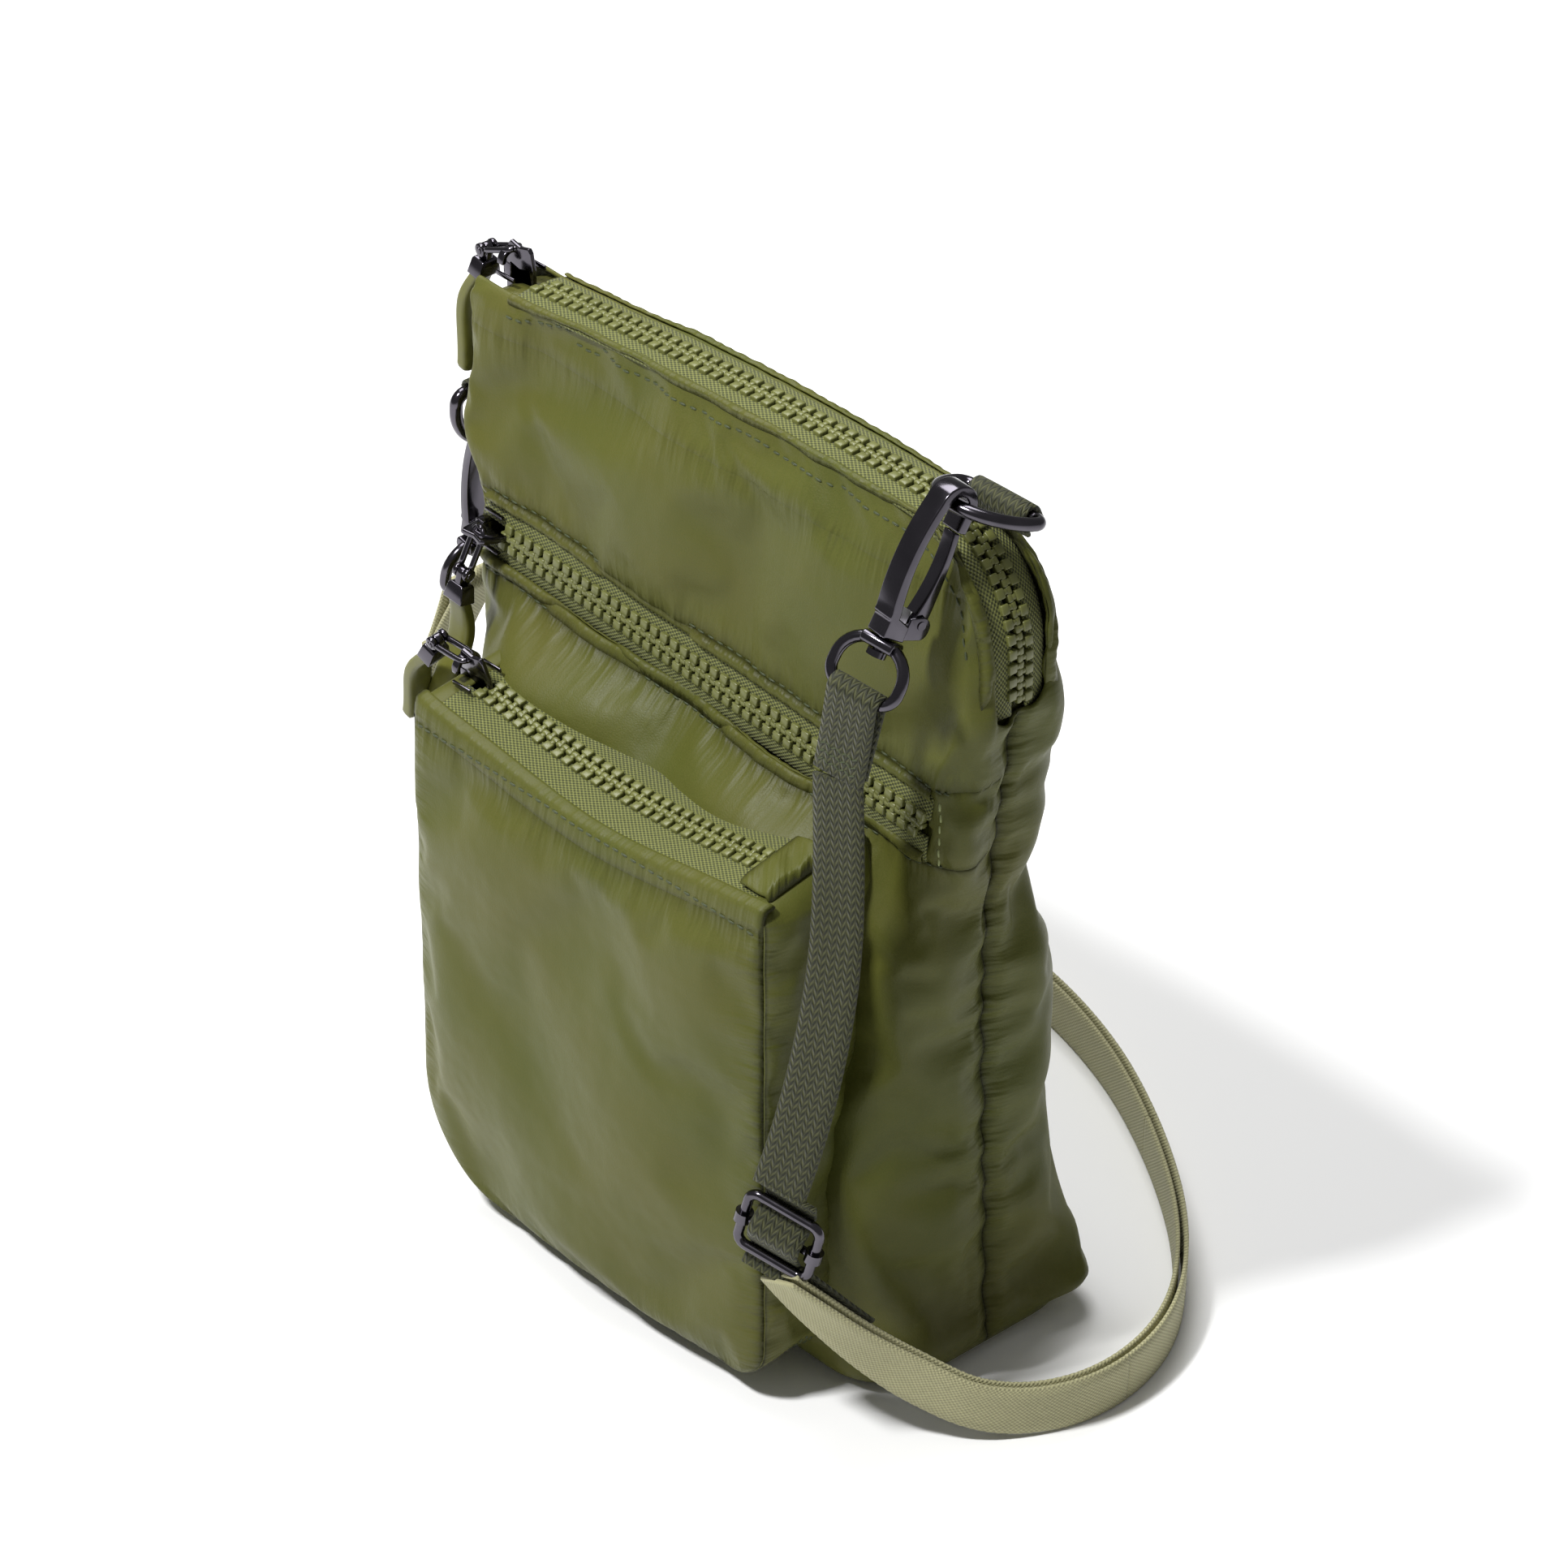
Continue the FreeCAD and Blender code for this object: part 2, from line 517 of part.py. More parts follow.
def make_ring(name, bar_centre, bar_way, ring_way, tab_way, tab_leg):
    """A D-ring whose bar turns in a folded webbing tab."""
    half, leg, corner = size("ring_half"), size("ring_leg"), size("ring_corner")
    place = frame(bar_centre, bar_way, -Vector(ring_way).normalize())
    bar = [Vector(-half, 0, -leg), Vector(-half, 0, 0), Vector(half, 0, 0), Vector(half, 0, -leg)]
    edges = rounded(bar, [0, corner, corner, 0], closed=False)
    edges.append(Part.Arc(Vector(half, 0, -leg), Vector(0, 0, -leg - half), Vector(-half, 0, -leg)))
    node(made(f"{name}_d_ring", swept(edges, size("ring_wire"))), f"{name}_d_ring", place)

    inner = size("ring_wire") + size("webbing_gap")
    outer = inner + size("webbing_thick")
    loop = [Part.Arc(Vector(-outer, 0, 0), Vector(0, outer, 0), Vector(outer, 0, 0)),
            Part.LineSegment(Vector(outer, 0, 0), Vector(outer, -tab_leg, 0)),
            Part.LineSegment(Vector(outer, -tab_leg, 0), Vector(inner, -tab_leg, 0)),
            Part.LineSegment(Vector(inner, -tab_leg, 0), Vector(inner, 0, 0)),
            Part.Arc(Vector(inner, 0, 0), Vector(0, inner, 0), Vector(-inner, 0, 0)),
            Part.LineSegment(Vector(-inner, 0, 0), Vector(-inner, -tab_leg, 0)),
            Part.LineSegment(Vector(-inner, -tab_leg, 0), Vector(-outer, -tab_leg, 0)),
            Part.LineSegment(Vector(-outer, -tab_leg, 0), Vector(-outer, 0, 0))]
    tab = padded(f"{name}_ring_tab", "YZ_Plane", [loop], "sizes.tab_wide")
    node(tab, f"{name}_ring_tab", frame(bar_centre, bar_way, -Vector(tab_way).normalize()))


def make_hook(name, place, eye_turn, leg_way):
    """A snap hook hanging down its own -Z from the ring's wire, with its gate towards +Y."""
    inner, bar, tall = size("hook_inner"), size("hook_bar"), size("hook_tall")
    outer = inner + bar
    # side view: x is local Y (gate side positive), y is local Z
    tip = Vector(outer, -6.0, 0), Vector(inner, -6.0, 0)
    spine_out, spine_in = Vector(-outer - 1.6, -16.0, 0), Vector(-outer - 1.6 + bar, -16.0, 0)
    edges = [
        Part.LineSegment(tip[1], Vector(inner, 0, 0)),
        Part.Arc(Vector(inner, 0, 0), Vector(0, inner, 0), Vector(-inner, 0, 0)),
        Part.Arc(Vector(-inner, 0, 0), spine_in, Vector(-2.4, -tall + 7.0, 0)),
        Part.LineSegment(Vector(-2.4, -tall + 7.0, 0), Vector(2.2, -tall + 4.2, 0)),
        Part.LineSegment(Vector(2.2, -tall + 4.2, 0), Vector(2.2, -tall, 0)),
        Part.LineSegment(Vector(2.2, -tall, 0), Vector(-5.0, -tall, 0)),
        Part.LineSegment(Vector(-5.0, -tall, 0), Vector(-5.0, -tall + 5.0, 0)),
        Part.Arc(Vector(-5.0, -tall + 5.0, 0), spine_out, Vector(-outer, 0, 0)),
        Part.Arc(Vector(-outer, 0, 0), Vector(0, outer, 0), Vector(outer, 0, 0)),
        Part.LineSegment(Vector(outer, 0, 0), tip[0]),
        Part.LineSegment(tip[0], tip[1]),
    ]
    spine = padded(f"{name}_hook_spine", "YZ_Plane", [edges], "sizes.hook_thick")
    # two ears beside the gate's foot, with the pin's hole
    pin_x, pin_y, ear = 5.4, -tall + 5.4, 3.1
    ears = rounded(flat((1.4, -tall + 0.6), (pin_x + ear, -tall + 2.0), (pin_x + ear, pin_y + ear),
                        (1.4, pin_y + 1.0)),
                   [0, 2.0, 2.6, 0])
    ear_blank = padded(f"{name}_hook_ears", "YZ_Plane", [ears], "sizes.hook_thick")
    slot = Part.makeBox(size("gate_thick") + 0.5, 12.0, 14.0,
                        Vector(-size("gate_thick") / 2 - 0.25, size("gate_slot_wall"), -tall - 1.0))
    pin_bore = padded(f"{name}_pin_bore", "YZ_Plane",
                      [circle(pin_x, pin_y, size("gate_pin_radius") + size("pin_clearance"))],
                      "2 * sizes.hook_thick")
    blank = fused(f"{name}_hook_blank", [spine, ear_blank])
    node(cut(f"{name}_snap_hook", blank, made(f"{name}_gate_slot", slot), pin_bore),
         f"{name}_snap_hook", place)

    pin = padded(f"{name}_gate_pin", "YZ_Plane", [circle(pin_x, pin_y, size("gate_pin_radius"))],
                 "sizes.hook_thick + 0.6")
    node(pin, f"{name}_gate_pin", place)

    # the gate: round its pin, bowed outwards up to the hook's tip
    bore = size("gate_pin_radius") + size("pin_clearance")
    gate_edges = [
        Part.LineSegment(Vector(2.7, pin_y - 0.6, 0), Vector(3.6, pin_y + 2.6, 0)),
        Part.Arc(Vector(3.6, pin_y + 2.6, 0), Vector(4.7, -16.0, 0), Vector(inner + 0.3, -6.4, 0)),
        Part.LineSegment(Vector(inner + 0.3, -6.4, 0), Vector(outer - 0.6, -6.4, 0)),
        Part.Arc(Vector(outer - 0.6, -6.4, 0), Vector(7.0, -17.0, 0),
                 Vector(pin_x + 2.4, pin_y + 0.4, 0)),
        Part.Arc(Vector(pin_x + 2.4, pin_y + 0.4, 0), Vector(pin_x + 0.6, pin_y - 2.4, 0),
                 Vector(2.7, pin_y - 0.6, 0)),
    ]
    gate = padded(f"{name}_gate", "YZ_Plane", [gate_edges, circle(pin_x, pin_y, bore)],
                  "sizes.gate_thick")
    node(gate, f"{name}_gate", place)

    # leaf spring between the base and the gate's foot
    leaf_wide, leaf_thick = size("gate_spring_wide"), size("gate_spring_thick")
    leaf = Part.makeBox(leaf_wide, leaf_thick, size("gate_spring_long"),
                        Vector(-leaf_wide / 2, size("gate_slot_wall") + 0.1, -tall + 0.8))
    node(made(f"{name}_gate_spring", leaf), f"{name}_gate_spring", place)

    # swivel rivet: stem and head under the base
    drop, block, gap = tall, size("eye_block"), size("eye_gap")
    stem_centre = Vector(0, -1.4, 0)
    stem_long = block + 2 * gap
    stem = Part.makeCylinder(size("stem_radius"), stem_long,
                             stem_centre + Vector(0, 0, -drop - stem_long), Z_AXIS)
    head = Part.makeCylinder(size("stem_head_radius"), size("stem_head"),
                             stem_centre + Vector(0, 0, -drop - stem_long - size("stem_head")), Z_AXIS)
    node(made(f"{name}_swivel_rivet", stem.fuse(head).removeSplitter()), f"{name}_swivel_rivet", place)

    # swivel eye: a bored block with an oval wire loop under it
    block_top = -drop - gap
    half, wire, eye_tall = size("eye_half_wide"), size("eye_wire"), size("eye_tall")
    block_shape = Part.makeBox(9.0, 6.4, block, Vector(-4.5, -3.2, block_top - block))
    bore_shape = Part.makeCylinder(size("stem_radius") + size("rivet_clearance"), 20.0,
                                   Vector(0, 0, block_top - block - 10.0), Z_AXIS)
    top, low = block_top - block / 2, block_top - block / 2 - eye_tall
    ring = rounded([Vector(-4.0, 0, top), Vector(-half, 0, top), Vector(-half, 0, low),
                    Vector(half, 0, low), Vector(half, 0, top), Vector(4.0, 0, top)],
                   [0, 5.0, 2.0, 2.0, 5.0, 0], closed=False)
    eye = block_shape.fuse(swept(ring, wire)).cut(bore_shape).removeSplitter()
    turn = Placement(stem_centre, Rotation(Z_AXIS, eye_turn))
    eye_place = place.multiply(turn)
    node(made(f"{name}_swivel_eye", eye), f"{name}_swivel_eye", eye_place)

    # strap end folded round the eye's lower bar
    inner_bend = wire + size("webbing_gap")
    outer_bend, leg = inner_bend + size("webbing_thick"), size("sewn_end")
    fold = [Part.Arc(Vector(-outer_bend, 0, 0), Vector(0, outer_bend, 0), Vector(outer_bend, 0, 0)),
            Part.LineSegment(Vector(outer_bend, 0, 0), Vector(outer_bend, -leg, 0)),
            Part.LineSegment(Vector(outer_bend, -leg, 0), Vector(inner_bend, -leg, 0)),
            Part.LineSegment(Vector(inner_bend, -leg, 0), Vector(inner_bend, 0, 0)),
            Part.Arc(Vector(inner_bend, 0, 0), Vector(0, inner_bend, 0), Vector(-inner_bend, 0, 0)),
            Part.LineSegment(Vector(-inner_bend, 0, 0), Vector(-inner_bend, -leg, 0)),
            Part.LineSegment(Vector(-inner_bend, -leg, 0), Vector(-outer_bend, -leg, 0)),
            Part.LineSegment(Vector(-outer_bend, -leg, 0), Vector(-outer_bend, 0, 0))]
    strap_end = padded(f"strap_{name}_end", "YZ_Plane", [fold], "sizes.strap_wide")
    bend_place = frame(eye_place.multVec(Vector(0, 0, low)), eye_place.Rotation.multVec(X_AXIS),
                       -leg_way)
    node(strap_end, f"strap_{name}_end", bend_place)
    return {"pin": place.multVec(Vector(0, pin_x, pin_y)), "eye": eye_place.multVec(Vector(0, 0, low)),
            "leg_end": bend_place.multVec(Vector(0, 0, -leg)), "stem": place.multVec(stem_centre)}


def make_hardware():
    """Both corners: ring, hook and the strap end sewn to it."""
    corners = {}
    ring_wire_at = {"right": Vector(84, -11.6, 261.4), "left": Vector(-110.3, 5, 191.1)}
    bar_at = {"right": Vector(84.6, 5.4, 255.4), "left": Vector(-108.5, 5, 209)}
    bar_way = {"right": Vector(1, 0, 0), "left": Vector(0, 1, 0)}
    ring_way = {"right": Vector(0, -17, 6.0), "left": Vector(-1.8, 0, -17.9)}
    tab_way = {"right": Vector(0, 0.45, -1), "left": Vector(1, 0, 0.12)}
    leg_way = {"right": Vector(0.02, -0.06, -1), "left": Vector(-0.45, 0, -0.89)}
    for name in ("right", "left"):
        way = ring_way[name] - bar_way[name] * ring_way[name].dot(bar_way[name])
        make_ring(name, bar_at[name], bar_way[name], way, tab_way[name], size(f"{name}_tab_leg"))
    yaw, tilt = -6.0, 31.0
    right_turn = Rotation(Z_AXIS, yaw).multiply(Rotation(X_AXIS, -tilt))
    corners["right"] = make_hook("right", Placement(ring_wire_at["right"], right_turn), 20.0,
                                 leg_way["right"])
    left_turn = frame(ring_wire_at["left"], Vector(0, -1, 0), Vector(0.2, 0, 0.98))
    corners["left"] = make_hook("left", left_turn, 0.0, leg_way["left"])
    return corners


# ---------------------------------------------------------------- strap

HANGING_ROUTE = [(77.0, -41.9, 192.4), (80.2, -44.0, 166), (83.3, -48.5, 140), (83.5, -54.5, 114),
                 (81.5, -60.5, 90),
                 (79.2, -63.6, 78)]
FLOOR_ROUTE = [(80, -64, 52), (88, -53, 36), (101, -39, 20), (118, -24, 9), (130, 2, 7.8),
               (124, 35, 7.8),
               (99, 65, 7.8), (62, 91, 7.8), (20, 112, 7.8), (-27, 123, 7.8), (-74, 118, 9), (-108, 97,
                                                                                              17),
               (-129, 67, 32), (-138, 37, 54), (-139, 15, 78), (-137.5, 6.5, 102), (-133.7, 5, 117.7)]


def tube_arcs(route):
    """The largest arc that each corner's two runs leave room for."""
    radii = [0.0]
    for before, at, after in zip(route, route[1:], route[2:]):
        run = min((at - before).Length, (after - at).Length)
        half_turn = (at - before).getAngle(after - at) / 2
        radii.append(0.45 * run / math.tan(half_turn))
    return radii + [0.0]


def make_strap_length(label, points):
    """A free length of webbing as a plain bar of the same section area."""
    route = [Vector(*point) for point in points]
    radii = tube_arcs(route)
    edges = rounded(route, radii, closed=False)
    length = sum(edge.toShape().Length for edge in edges)
    solid = swept(edges, size("strap_radius"))
    section = math.pi * size("strap_radius") ** 2
    print(label, "radii", [round(radius, 1) for radius in radii[1:-1]], "length", round(length, 1),
          "volume ratio", round(solid.Volume / (section * length), 4))
    node(made(label, solid), label, Placement())


def make_buckle():
    """A wire slide buckle with a centre bar on two collars."""
    half, tall, wire, corner = (size("buckle_half_wide"), size("buckle_half_tall"), size("buckle_wire"),
                                size("buckle_corner"))
    strap_way = Vector(*FLOOR_ROUTE[0]) - Vector(*HANGING_ROUTE[-1])
    centre = (Vector(*FLOOR_ROUTE[0]) + Vector(*HANGING_ROUTE[-1])) * 0.5
    place = frame(centre, Vector(0.93, 0.3, -0.25), -strap_way)
    rail = [Vector(0, 0, tall), Vector(half, 0, tall), Vector(half, 0, -tall), Vector(-half, 0, -tall),
            Vector(-half, 0, tall), Vector(0, 0, tall)]
    edges = rounded(rail[:-1] + [rail[-1]], [0, corner, corner, corner, corner, 0], closed=False)
    node(made("buckle_frame", swept(edges, wire)), "buckle_frame", place)
    collar, long, hole = size("buckle_collar"), size("buckle_collar_long"), wire + size("buckle_collar_clearance")
    bar = Part.makeCylinder(size("buckle_bar"), 2 * half, Vector(-half, 0, 0), X_AXIS)
    collars = [Part.makeCylinder(collar, long, Vector(side * half, 0, -long / 2),
                                 Z_AXIS) for side in (-1, 1)]
    holes = [Part.makeCylinder(hole, 4 * long, Vector(side * half, 0, -2 * long),
                               Z_AXIS) for side in (-1, 1)]
    shape = bar.multiFuse(collars)
    for drill in holes:
        shape = shape.cut(drill)
    node(made("buckle_centre_bar", shape.removeSplitter()), "buckle_centre_bar", place)
    return place


# ---------------------------------------------------------------- the whole purse

def build():
    """Every sub-part, then the checks and the files."""
    make_shell()
    make_linings()
    make_top_zip()
    make_straight_zip("mid_zip", ("lower", "upper"), size("mid_zip_left"), size("mid_zip_right") - 2.5,
                      mid_zip_frame(size("zip_inset")), (size("tape_wide"), size("tape_wide")))
    make_pocket()
    pins = make_sliders()
    corners = make_hardware()
    make_strap_length("strap_hanging", HANGING_ROUTE)
    make_strap_length("strap_doubled", FLOOR_ROUTE)
    make_buckle()
    return pins, corners


def check_and_write():
    """Stops on any failed feature, then writes one STEP file for each sub-part."""
    doc.recompute()
    for obj in doc.Objects:
        if "Invalid" in obj.State or "Error" in obj.State:
            raise RuntimeError(f"{obj.Label} failed: {obj.State}")
    os.makedirs("parts", exist_ok=True)
    for obj in nodes:
        shape = obj.Shape
        if shape.isNull() or not shape.isValid():
            raise RuntimeError(f"{obj.Label} has no valid shape")
        shape.exportStep(f"parts/{obj.Label}.step")
        print(f"{obj.Label:24s} solids {len(shape.Solids):3d} volume {shape.Volume:10.1f}",
              [round(value, 1) for value in (shape.BoundBox.XMin, shape.BoundBox.XMax,
                                             shape.BoundBox.YMin,
                                             shape.BoundBox.YMax, shape.BoundBox.ZMin, shape.BoundBox.ZMax)])


pins, corners = build()
check_and_write()
for name, places in list(pins.items()):
    print(name, "pin", places[0], "axis", places[1], "rivet", places[2])
for name, places in corners.items():
    print(name, places)
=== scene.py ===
import json
import math

import bpy
import numpy as np
from mathutils import Matrix, Vector
from mathutils.bvhtree import BVHTree


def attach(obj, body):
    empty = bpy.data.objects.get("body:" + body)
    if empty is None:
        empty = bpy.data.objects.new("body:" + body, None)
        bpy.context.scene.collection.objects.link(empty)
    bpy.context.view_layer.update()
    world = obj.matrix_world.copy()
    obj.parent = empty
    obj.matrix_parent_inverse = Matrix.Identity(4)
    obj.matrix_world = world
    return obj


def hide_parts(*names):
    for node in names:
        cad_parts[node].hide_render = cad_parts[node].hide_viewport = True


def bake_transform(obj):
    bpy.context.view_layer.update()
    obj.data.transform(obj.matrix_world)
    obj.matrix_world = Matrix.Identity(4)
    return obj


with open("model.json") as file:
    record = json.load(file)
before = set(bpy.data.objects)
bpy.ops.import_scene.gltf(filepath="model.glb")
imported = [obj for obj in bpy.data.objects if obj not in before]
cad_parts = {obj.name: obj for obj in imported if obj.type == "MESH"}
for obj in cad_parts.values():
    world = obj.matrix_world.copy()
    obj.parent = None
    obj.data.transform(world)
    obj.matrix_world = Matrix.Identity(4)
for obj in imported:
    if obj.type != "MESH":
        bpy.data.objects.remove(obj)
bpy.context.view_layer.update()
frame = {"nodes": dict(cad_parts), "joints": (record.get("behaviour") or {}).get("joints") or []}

MM = 0.001


# ---------------------------------------------------------------- camera

CAMERA_AZIMUTH, CAMERA_ELEVATION = math.radians(48), math.radians(33)
CAMERA_DISTANCE, CAMERA_LENS = 1.7, 149.0
CAMERA_LOOK = (0, 0, 120)
CAMERA_SLIDE_RIGHT, CAMERA_SLIDE_UP = 7.2, 12.8


def view_axes():
    """Directions to the camera, to its right and to its top."""
    a, e = CAMERA_AZIMUTH, CAMERA_ELEVATION
    back = Vector((math.sin(a) * math.cos(e), -math.cos(a) * math.cos(e), math.sin(e)))
    right = Vector((math.cos(a), math.sin(a), 0))
    return back, right, back.cross(right)


def add_camera():
    """A long lens from the front right, above."""
    back, right, up = view_axes()
    camera = bpy.data.objects.new("camera", bpy.data.cameras.new("camera"))
    bpy.context.scene.collection.objects.link(camera)
    slide = right * CAMERA_SLIDE_RIGHT + up * CAMERA_SLIDE_UP
    spot = (Vector(CAMERA_LOOK) + slide) * MM + back * CAMERA_DISTANCE
    turn = Matrix((right, up, back)).transposed().to_4x4()
    camera.matrix_world = Matrix.Translation(spot) @ turn
    camera.data.lens = CAMERA_LENS
    camera.data.clip_start = 0.1
    bpy.context.scene.camera = camera


# ---------------------------------------------------------------- meshes

def mesh_object(name, points, faces, material, smooth=True, uvs=None):
    """A mesh from points in millimetres; uvs holds one (along, across) pair in millimetres for each point."""
    mesh = bpy.data.meshes.new(name)
    spots = np.array([tuple(p) for p in points], float) * MM
    mesh.from_pydata(spots.tolist(), [], [tuple(f) for f in faces])
    if uvs is not None:
        corners = np.empty(len(mesh.loops), int)
        mesh.loops.foreach_get("vertex_index", corners)
        mesh.uv_layers.new(name="cloth").data.foreach_set("uv", np.array(uvs, float)[corners].ravel())
    mesh.polygons.foreach_set("use_smooth", [smooth] * len(mesh.polygons))
    mesh.update()
    obj = bpy.data.objects.new(name, mesh)
    bpy.context.scene.collection.objects.link(obj)
    mesh.materials.append(material)
    return obj


def apply_modifiers(obj):
    """Bakes an object's modifiers into its mesh."""
    graph = bpy.context.evaluated_depsgraph_get()
    graph.update()
    baked = bpy.data.meshes.new_from_object(obj.evaluated_get(graph), preserve_all_data_layers=True,
                                            depsgraph=graph)
    obj.modifiers.clear()
    obj.data = baked
    return obj


def bevelled(obj, width, segments=3, angle=35):
    """Rounds the edges sharper than an angle."""
    bevel = obj.modifiers.new("bevel", "BEVEL")
    bevel.width = width * MM
    bevel.segments = segments
    bevel.limit_method = "ANGLE"
    bevel.angle_limit = math.radians(angle)
    bevel.harden_normals = False
    apply_modifiers(obj)
    obj.data.polygons.foreach_set("use_smooth", [True] * len(obj.data.polygons))
    return obj


def subdivided(obj):
    """One smooth subdivision."""
    smooth = obj.modifiers.new("smooth", "SUBSURF")
    smooth.levels = smooth.render_levels = 1
    smooth.use_limit_surface = False
    return apply_modifiers(obj)


def joined(name, pieces):
    """Several objects as one, in the first one's material order."""
    points, faces, uvs, materials, slots = [], [], [], [], []
    for piece in pieces:
        start = len(points)
        mesh = piece.data
        points.extend(tuple(v.co) for v in mesh.vertices)
        faces.extend([start + index for index in polygon.vertices] for polygon in mesh.polygons)
        flat = np.zeros(2 * len(mesh.loops))
        if mesh.uv_layers:
            mesh.uv_layers[0].data.foreach_get("uv", flat)
        uvs.append(flat)
        if mesh.materials[0] not in materials:
            materials.append(mesh.materials[0])
        slots.extend([materials.index(mesh.materials[0])] * len(mesh.polygons))
    mesh = bpy.data.meshes.new(name)
    mesh.from_pydata(points, [], faces)
    for material in materials:
        mesh.materials.append(material)
    mesh.polygons.foreach_set("material_index", slots)
    mesh.polygons.foreach_set("use_smooth", [True] * len(faces))
    mesh.uv_layers.new(name="cloth").data.foreach_set("uv", np.concatenate(uvs))
    mesh.update()
    for piece in pieces:
        bpy.data.objects.remove(piece)
    obj = bpy.data.objects.new(name, mesh)
    bpy.context.scene.collection.objects.link(obj)
    return obj


def declared(piece, body, slot, *nodes):
    """Attaches a piece to the body that carries it and hides the CAD nodes it stands for; the slot is not
    used.
    """
    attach(piece, body)
    if nodes:
        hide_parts(*nodes)


def quads(rows, columns, ring=False, flip=False, start=0):
    """Faces between rows of points; ring joins each row's last point to its first."""
    faces = []
    for row in range(rows - 1):
        for k in range(columns if ring else columns - 1):
            a, b = start + row * columns + k, start + row * columns + (k + 1) % columns
            faces.append([a, a + columns, b + columns, b] if flip else [a, b, b + columns, a + columns])
    return faces


def end_caps(rows, columns, flip=False):
    """The two faces that close rows of points joined as rings."""
    first = list(range(columns))
    last = [(rows - 1) * columns + k for k in range(columns)]
    return [first, last[::-1]] if flip else [first[::-1], last]


def axes_frame(origin, x_axis, z_axis):
    """A placement from its origin, its X axis and the side its Z axis leans to, in millimetres."""
    x_axis = Vector(x_axis).normalized()
    y_axis = Vector(z_axis).cross(x_axis).normalized()
    z_axis = x_axis.cross(y_axis)
    turn = Matrix((x_axis, y_axis, z_axis)).transposed().to_4x4()
    return Matrix.Translation(Vector(origin)) @ turn


def placed(points, place):
    """Points moved into a placement."""
    return [place @ Vector(p) for p in points]


def extruded(name, outline, thickness, place, material, bevel=0.5, segments=3):
    """An outline in the local YZ plane, thickened both ways along X."""
    count, half = len(outline), thickness / 2
    points = [(side * half, a, b) for side in (-1, 1) for a, b in outline]
    faces = [list(range(count))[::-1], list(range(count, 2 * count))]
    faces += [[i, (i + 1) % count, count + (i + 1) % count, count + i] for i in range(count)]
    obj = mesh_object(name, placed(points, place), faces, material)
    return bevelled(obj, bevel, segments) if bevel else obj


def block(name, low, high, place, material, bevel=0.3, segments=3):
    """A box with rounded edges."""
    outline = [(low[1], low[2]), (high[1], low[2]), (high[1], high[2]), (low[1], high[2])]
    shift = Matrix.Translation(Vector(((low[0] + high[0]) / 2, 0, 0)))
    return extruded(name, outline, high[0] - low[0], place @ shift, material, bevel, segments)


def turned(name, profile, place, material, sides=32):
    """A profile of (radius, height) pairs turned round the local Z axis."""
    points = []
    for radius, height in profile:
        for i in range(sides):
            angle = 2 * math.pi * i / sides
            points.append((radius * math.cos(angle), radius * math.sin(angle), height))
    faces = quads(len(profile), sides, ring=True) + end_caps(len(profile), sides)
    return mesh_object(name, placed(points, place), faces, material)


def tube(name, path, radius, place, material, closed=False, sides=16):
    """A round wire along points."""
    path = [Vector(p) for p in path]
    count = len(path)
    points = []
    side_way = None
    for i, point in enumerate(path):
        before = path[i - 1] if i or closed else point
        after = path[(i + 1) % count] if i < count - 1 or closed else point
        along = (after - before).normalized()
        if side_way is None:
            helper = Vector((0, 0, 1)) if abs(along.z) < 0.9 else Vector((1, 0, 0))
            side_way = along.cross(helper).normalized()
        side_way = (side_way - along * side_way.dot(along)).normalized()
        up_way = along.cross(side_way)
        for k in range(sides):
            angle = 2 * math.pi * k / sides
            points.append(point + (side_way * math.cos(angle) + up_way * math.sin(angle)) * radius)
    if closed:
        faces = [[i % len(points) for i in quad] for quad in quads(count + 1, sides, ring=True)]
    else:
        faces = quads(count, sides, ring=True) + end_caps(count, sides)
    return mesh_object(name, placed(points, place), faces, material)


def curve_through(points, steps=8):
    """A smooth open line through points (Catmull-Rom)."""
    knots = [np.asarray(p, float) for p in points]
    knots = [2 * knots[0] - knots[1]] + knots + [2 * knots[-1] - knots[-2]]
    line = []
    for a, b, c, d in zip(knots, knots[1:], knots[2:], knots[3:]):
        for i in range(steps):
            t = i / steps
            line.append(0.5 * (2 * b + (c - a) * t + (2 * a - 5 * b + 4 * c - d) * t ** 2
                               + (3 * b - a - 3 * c + d) * t ** 3))
    line.append(knots[-2])
    return line


def smoothstep(low, high, value):
    """0 below low, 1 above high, smooth between."""
    t = np.clip((value - low) / (high - low), 0, 1)
    return t * t * (3 - 2 * t)


# ---------------------------------------------------------------- materials

